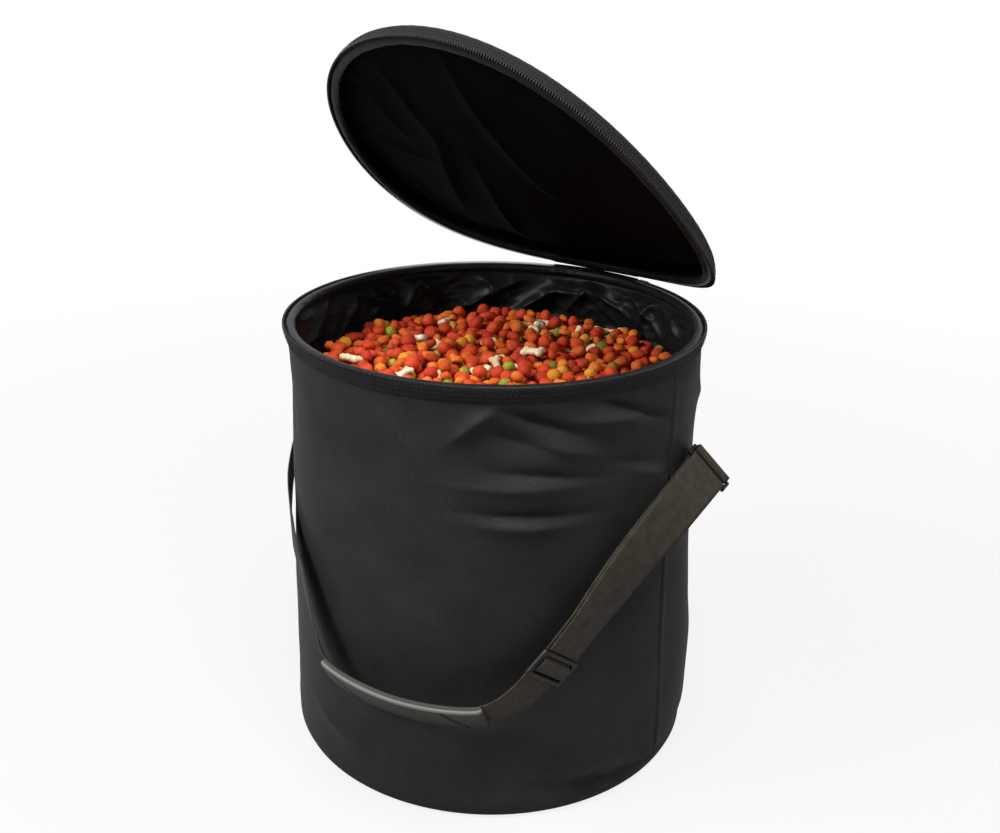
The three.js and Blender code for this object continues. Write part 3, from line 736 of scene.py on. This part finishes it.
def lid_lining_shape(angle, along, radius, height):
    x = radius * np.cos(angle)
    y = radius * np.sin(angle)
    loose = smoothstep((178 - radius) / 22)
    drop = 1.4 + 1.6 * ripple(x, y, 0 * x, 80.0, 51)
    for x_from, y_from, x_to, y_to, half_width, depth in LID_FOLDS:
        drop = drop + depth * fold_line(x, y, (x_from, y_from), (x_to, y_to), half_width, 1.3)
    gathered = smoothstep((-x - 20) / 110)
    ruffle = crumple(angle, 170.0, 0 * height, 13.0, 52) + 0.5 * crumple(angle, 170.0, 0 * height, 6.0, 53)
    ruffle = (0.5 + 1.9 * gathered) * ruffle * np.exp(-((radius - 171) / 6) ** 2)
    return radius, height - np.clip(drop, 0, 7) * loose - ruffle


def build_lid():
    section = [(0.0, 420.0), (174.0, 420.0)] + arc_points(176.5, 413.6, 6.4, 85, 0, 8) + [(183.0, 409.6)]
    cover = turn_cloth("lid_cover", 300, 64, section, cover_shape, merge=SEAM_MERGE)
    thicken(cover, 1.5)
    mount(cover, OXFORD, body="lid", stands_for=("lid_panel", "lid_band"))
    section = [(0.0, 416.6), (168.0, 416.6)] + arc_points(174.0, 411.0, 5.6, 85, 0, 8) + [(179.8, 408.8)]
    lining = turn_cloth("lid_inner", 420, 110, section, lid_lining_shape, merge=SEAM_MERGE)
    thicken(lining, 0.5, offset=0.0)
    mount(lining, SHADED_LID_TAFFETA, body="lid", stands_for=("lid_lining",))


# The cloth hinge at the back, in two parts that meet at the fold.

def build_hinge():
    def pleats(angle, along, radius, height):
        wave = 1.3 * np.sin(height * 1.3 + 2.5 * round_ripple(angle, radius, height, 30.0, 61))
        return radius + wave * smoothstep(along * 5) * smoothstep((1 - along) * 5), height

    sector = (HINGE_FROM, HINGE_TO)
    profile = [(184.6, 386.0), (186.4, 391.0), (186.9, 400.2)]
    strip = turn_cloth("hinge_cloth", 60, 24, profile, pleats, sector=sector)
    thicken(strip, 1.2, offset=0.0)
    strip.data.materials.append(OXFORD)
    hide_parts("hinge_strip")
    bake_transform(strip)
    profile = [(186.9, 400.2), (186.4, 405.0), (184.4, 412.0), (183.9, 414.6)]
    hem = turn_cloth("hinge_hem", 60, 24, profile, pleats, sector=sector)
    thicken(hem, 1.2, offset=0.0)
    mount(hem, OXFORD, body="lid", stands_for=("lid_hem",))


# The zip's slider and pull, parked beside the hinge.

SLIDER_TURN = 73.24
SLIDER_HEIGHT = 395.7
PIN_RADIUS = 193.5


def put_hard(name, bevel, segments, place):
    """Rounds the new shape's edges, shades its flats flat and puts it in place by a matrix."""
    piece = named(name)
    apply_modifier(piece, "BEVEL", width=bevel * MM, segments=segments)
    make_active(piece)
    bpy.ops.object.shade_smooth_by_angle(angle=math.radians(35))
    piece.data.transform(place)
    return piece


def block(name, size, place, bevel):
    """A block with rounded edges, size along its own directions in millimetres."""
    deselect_all()
    bpy.ops.mesh.primitive_cube_add(size=1)
    piece = bpy.context.active_object
    set_points(piece, points_of(piece) * np.array(size) * MM)
    return put_hard(name, bevel, 3, place)


def rod(name, radius, length, place):
    deselect_all()
    bpy.ops.mesh.primitive_cylinder_add(vertices=24, radius=radius * MM, depth=length * MM)
    return put_hard(name, radius * 0.3, 2, place)


def joined(name, pieces):
    deselect_all()
    for piece in pieces:
        piece.select_set(True)
    bpy.context.view_layer.objects.active = pieces[0]
    bpy.ops.object.join()
    return named(name)


def build_slider():
    def at(out, sideways, up):
        slid = Matrix.Translation(Vector((out, sideways, up)) * MM)
        return round_basis(math.radians(SLIDER_TURN), 0, 0) @ slid

    across = Matrix.Rotation(math.radians(90), 4, "X")
    body = block("slider_body", (5.2, 10.6, 7.8), at(188.1, 0, SLIDER_HEIGHT), 1.3)
    nose = block("slider_nose", (4.2, 5.0, 5.6), at(188.2, 4.4, SLIDER_HEIGHT), 1.2)
    ears = [block("slider_ear", (4.6, 1.4, 3.4), at(192.6, y, SLIDER_HEIGHT), 0.6) for y in (-2.9, 2.9)]
    pin = rod("slider_pin", 0.8, 7.6, at(PIN_RADIUS, 0, SLIDER_HEIGHT) @ across)
    slider = joined("zip_runner", [body, nose, *ears, pin])
    mount(slider, ACETAL, stands_for=("zip_slider",))
    knuckle = rod("pull_knuckle", 1.9, 4.0, at(PIN_RADIUS, 0, SLIDER_HEIGHT) @ across)
    stem = block("pull_stem", (1.7, 3.6, 8.0), at(PIN_RADIUS, 0, 390.5), 0.6)
    tag = block("pull_tag", (1.9, 6.4, 22.0), at(PIN_RADIUS, 0, 377.0), 0.8)
    levels = (370.5, 373.5, 376.5, 379.5)
    ridges = [block("pull_ridge", (2.5, 4.4, 1.0), at(PIN_RADIUS, 0, z), 0.45) for z in levels]
    pull = joined("zip_tag", [knuckle, stem, tag, *ridges])
    mount(pull, ACETAL, body="zip_pull", stands_for=("zip_pull",))


# The carrying strap, on the same route as the part's.

ROUTE = [
    (5.5, 1.05, 21, -44), (-9, 0.955, 19, -32), (-23, 0.745, 16.5, -10), (-34, 0.495, 15.5, 15.5),
    (-42.3, 0.29, 16.0, 22), (-50, 0.12, 17.5, 28), (-58, 0.055, 20, 39), (-77.5, 0.047, 19, 38),
    (-99, 0.095, 16, 32), (-106.5, 0.25, 12.5, 24), (-113.5, 0.43, 8.5, 14), (-125, 0.575, 4.5, 4),
    (-141, 0.71, 3.5, 0), (-157, 0.85, 6, -10), (-172, 0.95, 12, -24), (-185, 1.02, 20, -38),
]
ROUTE_STEPS = 24
SLIDE_STATION = 4
PAD_STATION = 7
ANCHOR_HEIGHT = 285.0
PAD_HEIGHT = 114.0
RING_EASE = 36.0
RING_MIDDLE = 4.5
STRAP_LAYER = 3.2
STRAP_LAP = 45.0
BAR_WRAP = 3.17
BAR_START = 2.0
SLIDE_LEVEL = 3.05
SLIDE_HALF = 13.0
TAB_BAR = 9.0
TAB_LENGTH = 30.0
TAB_DROP = 24.0
CLOTH_GAP = 0.3


def unit(rows):
    return rows / np.linalg.norm(rows, axis=1, keepdims=True)


def strap_route():
    """Points along the strap's middle, with the ways along it, across it and out of its face."""
    points = []
    for degrees, rise, off, _ in ROUTE:
        turn = math.radians(degrees)
        height = PAD_HEIGHT + rise * (ANCHOR_HEIGHT - PAD_HEIGHT)
        radius = wall_radius(height) + off
        points.append(np.array([radius * math.cos(turn), radius * math.sin(turn), height]))
    points = [2 * points[0] - points[1], *points, 2 * points[-1] - points[-2]]
    middle = []
    along = []
    leans = []
    for k in range(len(ROUTE) - 1):
        p0, p1, p2, p3 = points[k:k + 4]
        d0, d1, d2 = (math.sqrt(np.linalg.norm(b - a)) for a, b in ((p0, p1), (p1, p2), (p2, p3)))
        t1 = ((p1 - p0) / d0 - (p2 - p0) / (d0 + d1) + (p2 - p1) / d1) * d1
        t2 = ((p2 - p1) / d1 - (p3 - p1) / (d1 + d2) + (p3 - p2) / d2) * d1
        last = k == len(ROUTE) - 2
        for step in range(ROUTE_STEPS + (1 if last else 0)):
            w = step / ROUTE_STEPS
            c2 = -3 * p1 + 3 * p2 - 2 * t1 - t2
            c3 = 2 * p1 - 2 * p2 + t1 + t2
            middle.append(p1 + t1 * w + c2 * w * w + c3 * w ** 3)
            along.append(t1 + 2 * c2 * w + 3 * c3 * w * w)
            leans.append(ROUTE[k][3] + (ROUTE[k + 1][3] - ROUTE[k][3]) * w)
    middle = np.array(middle)
    along = unit(np.array(along))
    outward = unit(middle * np.array([1, 1, 0]))
    across = unit(np.cross(along, outward))
    across = across * np.sign(across[:, 2:3])
    face = unit(np.cross(across, along))
    face = face * np.sign(np.sum(face * outward, 1, keepdims=True))
    lean = np.radians(np.array(leans))[:, None]
    tilted = across * np.cos(lean) + face * np.sin(lean)
    out = face * np.cos(lean) - across * np.sin(lean)
    return {"length": distances(middle), "middle": middle, "along": along, "across": tilted, "out": out}


STRAP = strap_route()
STRAP_END = STRAP["length"][-1]
SLIDE_AT = STRAP["length"][SLIDE_STATION * ROUTE_STEPS]
PAD_AT = STRAP["length"][PAD_STATION * ROUTE_STEPS]


def strap_at(distance):
    found = {}
    for name in ("middle", "along", "across", "out"):
        found[name] = between(distance, STRAP["length"], STRAP[name])
        if name != "middle":
            found[name] = found[name] / np.linalg.norm(found[name])
    return found


def strap_basis(distance, along=0.0, out=0.0):
    found = strap_at(distance)
    place = found["middle"] + found["along"] * along + found["out"] * out
    side = np.cross(found["out"], found["along"])
    return basis(found["along"], side, found["out"], place)


def ribbon(name, path, width, cloth):
    """A flat band through a list of (middle, across) places in millimetres."""
    middles = np.array([p[0] for p in path])
    acrosses = unit(np.array([p[1] for p in path]))
    reach = distances(middles)

    def place(across, along):
        at = along * reach[-1]
        way = unit(between(at, reach, acrosses))
        return (between(at, reach, middles) + way * ((across - 0.5) * width)[:, None]).T

    rows = max(8, int(reach[-1] / 2.5))
    piece = cut_cloth(name, 12, rows, place, (width, reach[-1]))
    thicken(piece, cloth, offset=0.0)
    return piece, reach[-1]


def parting(distance):
    return BAR_WRAP * max(0.0, 1 - distance / RING_EASE)


def layer(distance):
    return parting(distance) + STRAP_LAYER * min(1.0, distance / RING_EASE)


def strap_place(distance, along=0.0, out=0.0):
    found = strap_at(distance)
    return found["middle"] + found["along"] * along + found["out"] * out, found["across"]


def bar_turn(distance, along, radius, way):
    """Half a turn round a bar, from its outer face to its inner one; way is the side that it passes on."""
    angles = [math.pi * k / 12 for k in range(13)]
    return [strap_place(distance, along + way * math.sin(a) * radius, math.cos(a) * radius) for a in angles]


def steps_between(start, end, step=2.5):
    count = max(2, int(abs(end - start) / step))
    return [start + (end - start) * k / count for k in range(count + 1)]


def build_strap():
    """From its free end on the right, round the right ring, over the slide's bar and round the left ring."""
    far = STRAP_END - BAR_START
    path = [strap_place(d, 0, layer(d)) for d in steps_between(SLIDE_AT - SLIDE_HALF - 1.0, BAR_START)]
    path += bar_turn(0.0, 0.0, BAR_WRAP, -1)
    path += [strap_place(d, 0, -parting(d)) for d in steps_between(BAR_START, SLIDE_AT - SLIDE_HALF)]
    for step in np.linspace(-10.0, 10.0, 17):
        level = smoothstep((9.5 - abs(step)) / 6.0)
        path.append(strap_place(SLIDE_AT, step, 2 * SLIDE_LEVEL * float(level)))
    path += [strap_place(d, 0, -parting(STRAP_END - d)) for d in steps_between(SLIDE_AT + SLIDE_HALF, far)]
    path += bar_turn(STRAP_END, 0.0, BAR_WRAP, 1)[::-1]
    path += [strap_place(d, 0, layer(STRAP_END - d)) for d in steps_between(far, STRAP_END - STRAP_LAP)]
    strap, length = ribbon("strap_band", path, STRAP_WIDTH, STRAP_CLOTH)
    mount(strap, WEBBING, stands_for=("strap_webbing",))


def cut_frame(name, lines_along, lines_across, holes, depth, bevel, place):
    """A moulded frame: a plate ruled by cut lines, its windows taken out, then thickened and rounded."""
    deselect_all()
    bpy.ops.mesh.primitive_grid_add(x_subdivisions=len(lines_along) - 1,
                                    y_subdivisions=len(lines_across) - 1, size=2)
    piece = named(name)
    start = points_of(piece)
    x = np.interp((start[:, 0] + 1) / 2, np.linspace(0, 1, len(lines_along)), lines_along)
    y = np.interp((start[:, 1] + 1) / 2, np.linspace(0, 1, len(lines_across)), lines_across)
    set_points(piece, np.stack([x, y, 0 * x], 1) * MM)
    make_active(piece)
    bpy.ops.object.mode_set(mode="EDIT")
    bpy.ops.mesh.select_all(action="DESELECT")
    bpy.ops.object.mode_set(mode="OBJECT")
    for face in piece.data.polygons:
        centre = face.center / MM
        face.select = any(a < centre.x < b and abs(centre.y) < reach for a, b, reach in holes)
    bpy.ops.object.mode_set(mode="EDIT")
    bpy.ops.mesh.select_mode(type="FACE")
    bpy.ops.mesh.delete(type="FACE")
    bpy.ops.object.mode_set(mode="OBJECT")
    apply_modifier(piece, "SOLIDIFY", thickness=depth * MM, offset=0.0)
    apply_modifier(piece, "BEVEL", width=bevel * MM, segments=3, limit_method="ANGLE",
                   angle_limit=math.radians(40))
    make_active(piece)
    bpy.ops.object.shade_smooth_by_angle(angle=math.radians(30))
    piece.data.transform(place)
    return piece


def build_fittings():
    slide = cut_frame("strap_slide", [-13, -9, -1.5, 1.5, 9, 13], [-24, -20, 20, 24],
                      [(-9, -1.5, 20), (1.5, 9, 20)], 4.0, 1.1, strap_basis(SLIDE_AT, 0, SLIDE_LEVEL))
    mount(slide, ACETAL, stands_for=("three_bar_slide",))
    for side, at, way in (("right", 0.0, -1), ("left", STRAP_END, 1)):
        ring = cut_frame(f"strap_ring_{side}", [-6, -3, 3, 6], [-23, -20, 20, 23], [(-3, 3, 20)], 3.0, 1.1,
                         strap_basis(at, RING_MIDDLE * way, 0))
        mount(ring, ACETAL, stands_for=(f"side_ring_{side}",))
        build_tab(side, at, way)


def build_tab(side, at, way):
    """A loop of webbing round the ring's outer bar, its two ends sewn flat on the wall."""
    bar = TAB_BAR * way
    found = strap_at(at)
    end = found["middle"] + found["along"] * (bar + TAB_LENGTH * way) - np.array([0, 0, TAB_DROP])
    angle = math.atan2(end[1], end[0])
    outward = np.array([math.cos(angle), math.sin(angle), -WALL_SLOPE])
    outward = outward / np.linalg.norm(outward)
    across = np.cross(found["along"], outward)
    across = across * np.sign(across @ found["across"])

    def leaf(depth):
        radius = wall_radius(end[2])
        foot = np.array([math.cos(angle) * radius, math.sin(angle) * radius, end[2]])
        return foot + outward * (CLOTH_GAP + STRAP_CLOTH / 2 + depth), across

    path = [leaf(STRAP_CLOTH + CLOTH_GAP), strap_place(at, bar + 3.0 * way, BAR_WRAP)]
    path += bar_turn(at, bar, BAR_WRAP, -way)
    path += [strap_place(at, bar + 3.0 * way, -BAR_WRAP), leaf(0.0)]
    tab, length = ribbon(f"ring_tab_{side}", path, STRAP_WIDTH, STRAP_CLOTH)
    mount(tab, WEBBING, stands_for=(f"side_tab_{side}",))


PAD_LENGTH = 150.0
PAD_WIDTH = 43.0
PAD_DEPTH = 7.0
PAD_LEVEL = 2.6
PAD_GIRTH = 95.0
PAD_SLITS = (-50.0, 50.0)


def pad_section(turn):
    """The pad's rounded oblong section: sideways and up at an angle round it."""
    side = np.sign(np.cos(turn)) * np.abs(np.cos(turn)) ** 0.3 * PAD_WIDTH / 2
    up = np.sign(np.sin(turn)) * np.abs(np.sin(turn)) ** 0.4 * PAD_DEPTH / 2
    return side, up


def slit_share(lengthwise, side, half_width, reach):
    """1 in the middle of the pad's two slanting slits, and 0 away from them."""
    share = 0 * side
    for middle in PAD_SLITS:
        gap = np.abs(lengthwise - middle - 0.5 * side)
        share = share + np.exp(-(gap / half_width) ** 4) * (np.abs(side) < reach)
    return share


def place_pad(across, along):
    turn = 2 * math.pi * across
    side, up = pad_section(turn)
    end = np.clip(np.minimum(along, 1 - along) * PAD_LENGTH, 0, None)
    closing = np.sqrt(np.clip(1 - (1 - np.minimum(end / 3.0, 1)) ** 2, 0, 1))
    side = side * (0.95 + 0.05 * closing)
    up = up * closing
    groove = np.where(np.cos(turn) > 0, 1.1, 0.0) * np.exp(-(up / 0.5) ** 2)
    side = side - groove * closing
    lengthwise = (along - 0.5) * PAD_LENGTH
    up = np.where(up > 0, up - 3.0 * slit_share(lengthwise, side, 1.4, 17), up)
    up = np.where(up > 0, up * (1 + 0.10 * np.cos(side / PAD_WIDTH * math.pi)), up)
    middle, sideways, out = (between(PAD_AT + lengthwise, STRAP["length"], STRAP[name])
                             for name in ("middle", "across", "out"))
    return (middle + unit(sideways) * side[:, None] + unit(out) * (up + PAD_LEVEL)[:, None]).T


def spread_pad(across, along):
    """Sets the pad's columns evenly round its section."""
    turns = np.linspace(0, 2 * math.pi, 2001)
    reach = distances(np.stack(pad_section(turns), 1))
    return np.interp(across, reach / reach[-1], turns / (2 * math.pi)), along


def build_grip():
    pad = cut_cloth("grip_sleeve", 96, 260, place_pad, (PAD_GIRTH, PAD_LENGTH), merge=SEAM_MERGE,
                    spread=spread_pad)
    spots = np.empty(len(pad.data.loops), np.int32)
    pad.data.loops.foreach_get("vertex_index", spots)
    weave = np.empty(2 * len(spots))
    pad.data.uv_layers.active.data.foreach_get("uv", weave)
    flat = np.empty((len(pad.data.vertices), 2))
    flat[spots] = weave.reshape(-1, 2) / (np.array([PAD_GIRTH, PAD_LENGTH]) * MM)
    turn = 2 * math.pi * flat[:, 0]
    side, up = pad_section(turn)
    # Painted light on the grip: its face is lighter towards its upper side and darker towards its lower side,
    # a painted highlight runs along its top edge, and painted shade fills its two slits.
    weave_tone_and_painted_light = 0.2 + 0.16 * side / PAD_WIDTH + smoothstep((up - 0.6) / 0.5) * smoothstep(side - 18.6)
    painted_slit_shade = slit_share((flat[:, 1] - 0.5) * PAD_LENGTH, side, 1.6, 19)
    set_shade(pad.data, np.clip(weave_tone_and_painted_light * (1 - painted_slit_shade * (np.sin(turn) > 0)), 0, 1))
    mount(pad, RUBBER, stands_for=("grip_pad",))


# The dry food: a bed of meal under loose pellets that settle on one another.

FOOD_SEED = 7
BED_DROP = 19.0
HEAP_DROP = 20.0
HEAP_REACH = 184.0
# Each pellet lies at the lowest of this many places, nested this much of its size into its neighbours.
PLACE_TRIES = 7
NESTING = 0.92


def food_level(x, y):
    far = np.minimum(np.hypot(x, y) / 181.0, 1.0)
    return FOOD_LEVEL + FOOD_CROWN * np.cos(far * math.pi / 2)


def build_bed():
    def shape(angle, along, radius, height):
        top = height > 300
        lumps = 2.0 * round_ripple(angle, radius, height, 14.0, 71)
        level = food_level(radius, 0) - BED_DROP
        return radius, np.where(top, level + lumps, height)

    profile = [(0.0, 340.0), (173.0, 340.0), (175.0, 12.0), (170.0, 7.0), (0.0, 7.0)]
    bed = turn_cloth("food_bed", 120, 60, profile, shape, merge=SEAM_MERGE)
    # The bed is brown meal at the dark end of the brown pellets' colour, darker so that it also paints shade
    # into the gaps between the pellets.
    set_shade(bed.data, np.full(len(bed.data.vertices), 0.1))
    mount(bed, BROWN_FOOD, stands_for=("kibble_fill",))


def pellet(name, size, roundness, lumps, seed):
    """One baked pellet: a ball pressed out of true, with a lumpy crust."""
    deselect_all()
    bpy.ops.mesh.primitive_ico_sphere_add(subdivisions=2, radius=1.0)
    source = named(name)
    places = points_of(source)
    swell = 1 + lumps * ripple(*places.T, 0.8, seed)
    places = np.sign(places) * np.abs(places) ** roundness * swell[:, None]
    set_points(source, places * np.array(size) * MM)
    return source


def bone_biscuit(name):
    """A small bone: a bar with two knobs at each end."""
    parts = []
    for x, y in ((-7.5, 2.6), (-7.5, -2.6), (7.5, 2.6), (7.5, -2.6)):
        deselect_all()
        bpy.ops.mesh.primitive_ico_sphere_add(subdivisions=1, radius=3.6 * MM, location=(x * MM, y * MM, 0))
        bpy.ops.object.transform_apply(location=True, rotation=False, scale=False)
        parts.append(named("bone_knob"))
    bar = rod("bone_bar", 3.1, 15.0, Matrix.Rotation(math.radians(90), 4, "Y"))
    bone = joined(name, [bar, *parts])
    apply_modifier(bone, "REMESH", mode="VOXEL", voxel_size=1.5 * MM)
    apply_modifier(bone, "DECIMATE", ratio=0.35)
    return bone


class Heap:
    """Heights of the food so far on a fine grid, so that each pellet settles on those under it."""

    def __init__(self, step=2.0):
        self.step = step
        line = np.arange(-HEAP_REACH, HEAP_REACH + 0.1, step)
        self.x, self.y = np.meshgrid(line, line, indexing="ij")
        self.height = food_level(self.x, self.y) - HEAP_DROP

    def under(self, x, y, size, flat):
        """The part of the grid round a pellet, which of it the pellet covers, and its half height there."""
        i = int(round((x + HEAP_REACH) / self.step))
        j = int(round((y + HEAP_REACH) / self.step))
        k = int(size / self.step) + 1
        part = slice(max(i - k, 0), i + k + 1), slice(max(j - k, 0), j + k + 1)
        far = np.hypot(self.x[part] - x, self.y[part] - y)
        return part, far < size, np.sqrt(np.clip(size ** 2 - far ** 2, 0, None)) * flat

    def rest_height(self, x, y, size, flat):
        part, covered, half = self.under(x, y, size, flat)
        return np.where(covered, self.height[part] + half, 0).max()

    def settle(self, x, y, z, size, flat):
        part, covered, half = self.under(x, y, size, flat)
        self.height[part] = np.where(covered, np.maximum(self.height[part], z + half), self.height[part])


# Each kind of pellet: share of the heap, half sizes in mm, how square it is and how lumpy.
PELLETS = [
    ("red_ball", 0.19, (6.6, 6.3, 5.8), 1.0, 0.22),
    ("red_cushion", 0.15, (6.8, 5.8, 4.0), 0.8, 0.30),
    ("orange_ball", 0.08, (6.0, 5.7, 5.2), 1.0, 0.24),
    ("orange_disc", 0.18, (6.2, 5.4, 3.0), 0.8, 0.36),
    ("orange_stub", 0.18, (6.0, 3.9, 3.5), 0.8, 0.40),
    ("green_ball", 0.04, (5.8, 5.5, 5.0), 1.0, 0.16),
    ("gold_ball", 0.05, (6.0, 5.8, 5.2), 1.0, 0.16),
    ("brown_chip", 0.08, (4.6, 3.4, 2.6), 0.8, 0.36),
    ("bone", 0.03, (10.0, 5.2, 3.4), 1.0, 0.0),
]
PELLET_COUNT = 2200
FINISHES = {
    "red": RED_FOOD, "orange": ORANGE_FOOD, "green": GREEN_FOOD, "gold": GOLD_FOOD, "brown": BROWN_FOOD,
    "bone": BONE_FOOD,
}


def build_food():
    build_bed()
    chance = random.Random(FOOD_SEED)
    heap = Heap()
    placed = {kind[0]: [] for kind in PELLETS}
    names = [kind[0] for kind in PELLETS]
    shares = [kind[1] for kind in PELLETS]
    halves = {kind[0]: kind[2] for kind in PELLETS}
    for _ in range(PELLET_COUNT):
        kind = chance.choices(names, shares)[0]
        half = halves[kind]
        grow = chance.uniform(0.88, 1.14)
        size = (half[0] + half[1]) / 2 * grow
        flat = half[2] / half[0] if kind != "bone" else 0.6
        best = None
        for _ in range(PLACE_TRIES):
            far = (FOOD_EDGE - size) * math.sqrt(chance.random())
            turn = chance.uniform(0, 2 * math.pi)
            x = far * math.cos(turn)
            y = far * math.sin(turn)
            z = heap.rest_height(x, y, size * NESTING, flat)
            if best is None or z - food_level(x, y) < best[2] - food_level(best[0], best[1]):
                best = (x, y, z)
        x, y, z = best
        heap.settle(x, y, z, size * NESTING, flat)
        tilt = 0.9 if kind.endswith("ball") else 0.45
        tilt = 1.1 if kind == "bone" and chance.random() < 0.3 else tilt
        turn = Matrix.Rotation(chance.uniform(0, 2 * math.pi), 4, "Z")
        turn = turn @ Matrix.Rotation(chance.uniform(-tilt, tilt), 4, "X")
        turn = turn @ Matrix.Rotation(chance.uniform(-tilt, tilt), 4, "Y")
        place = Matrix.Translation(Vector((x, y, z)) * MM) @ turn @ Matrix.Scale(grow, 4)
        placed[kind].append((place, chance.random()))
    for number, (kind, _, half, roundness, lumps) in enumerate(PELLETS):
        source = bone_biscuit(kind) if kind == "bone" else pellet(kind, half, roundness, lumps, number + 80)
        spots = placed[kind]
        pieces = repeat_shape(f"food_{kind}", source, [s[0] for s in spots], [s[1] for s in spots])
        drop_source(source)
        mount(pieces, FINISHES[kind.split("_")[0]])


# The stage, lights and camera.

def build_stage():
    deselect_all()
    bpy.ops.mesh.primitive_plane_add(size=60)
    floor = named("studio_floor")
    material, tree = new_material("studio_paper")
    paper = add_node(tree, "ShaderNodeBsdfPrincipled", {
        "Base Color": hex_colour("#b4b4b4"), "Roughness": 0.9, "Specular IOR Level": 0.1})
    white = add_node(tree, "ShaderNodeEmission", {"Color": (1, 1, 1, 1), "Strength": 1.0})
    rays = add_node(tree, "ShaderNodeLightPath", {})
    coords = add_node(tree, "ShaderNodeTexCoord", {})
    far = add_node(tree, "ShaderNodeVectorMath", {0: coords.outputs["Object"]}, operation="LENGTH")
    share = add_node(tree, "ShaderNodeMapRange", {
        "Value": far.outputs["Value"], 1: 0.4, 2: 1.6, 3: 0.84, 4: 1.0})
    seen = add_node(tree, "ShaderNodeMath", {0: rays.outputs["Is Camera Ray"], 1: share.outputs[0]},
                    operation="MULTIPLY")
    shader = add_node(tree, "ShaderNodeMixShader", {
        0: seen.outputs[0], 1: paper.outputs["BSDF"], 2: white.outputs["Emission"]})
    add_node(tree, "ShaderNodeOutputMaterial", {"Surface": shader.outputs["Shader"]})
    floor.data.materials.append(material)
    world = bpy.data.worlds.new("studio_world")
    bpy.context.scene.world = world
    world.use_nodes = True
    tree = world.node_tree
    tree.nodes.clear()
    rays = add_node(tree, "ShaderNodeLightPath", {})
    seen = add_node(tree, "ShaderNodeMath", {
        0: rays.outputs["Is Camera Ray"], 1: rays.outputs["Is Glossy Ray"]}, operation="MAXIMUM")
    through = add_node(tree, "ShaderNodeMath", {0: seen.outputs[0], 1: rays.outputs["Is Transmission Ray"]},
                       operation="MAXIMUM")
    strength = add_node(tree, "ShaderNodeMapRange", {"Value": through.outputs[0], 3: 0.15, 4: 1.0})
    sky = add_node(tree, "ShaderNodeBackground", {"Color": (1, 1, 1, 1), "Strength": strength.outputs[0]})
    add_node(tree, "ShaderNodeOutputWorld", {"Surface": sky.outputs["Background"]})


def add_softbox(name, place, aim, size, power):
    light = bpy.data.lights.new(name, "AREA")
    light.shape = "RECTANGLE"
    light.size, light.size_y = size
    light.energy = power
    lamp = bpy.data.objects.new(name, light)
    bpy.context.scene.collection.objects.link(lamp)
    lamp.location = place
    lamp.rotation_euler = (Vector(aim) - Vector(place)).to_track_quat("-Z", "Y").to_euler()


def build_light():
    add_softbox("key_softbox", (-1.2, -1.7, 1.9), (0, 0, 0.25), (0.8, 0.8), 64)
    add_softbox("top_softbox", (0.5, -0.5, 2.4), (0, 0, 0.3), (0.9, 0.9), 62)
    add_softbox("right_softbox", (2.0, -0.6, 1.2), (0, 0, 0.3), (0.6, 1.0), 7)


def build_camera():
    data = bpy.data.cameras.new("photo_camera")
    camera = bpy.data.objects.new("photo_camera", data)
    bpy.context.scene.collection.objects.link(camera)
    data.sensor_width = 36.0
    data.sensor_fit = "HORIZONTAL"
    data.lens = 41.8
    data.clip_end = 50.0
    place = Vector((0.5557, -0.8238, 0.7047))
    aim = Vector((0.0049, 0.0033, 0.3009))
    turn = (aim - place).to_track_quat("-Z", "Y").to_matrix() @ Matrix.Rotation(math.radians(0.91), 3, "Z")
    camera.location = place
    camera.rotation_euler = turn.to_euler()
    bpy.context.scene.camera = camera


build_wall()
build_base()
build_lining()
build_sleeves()
build_zip()
build_lid()
build_hinge()
build_slider()
build_strap()
build_fittings()
build_grip()
build_food()
build_stage()
build_light()
build_camera()
bpy.context.scene.view_settings.view_transform = "Standard"
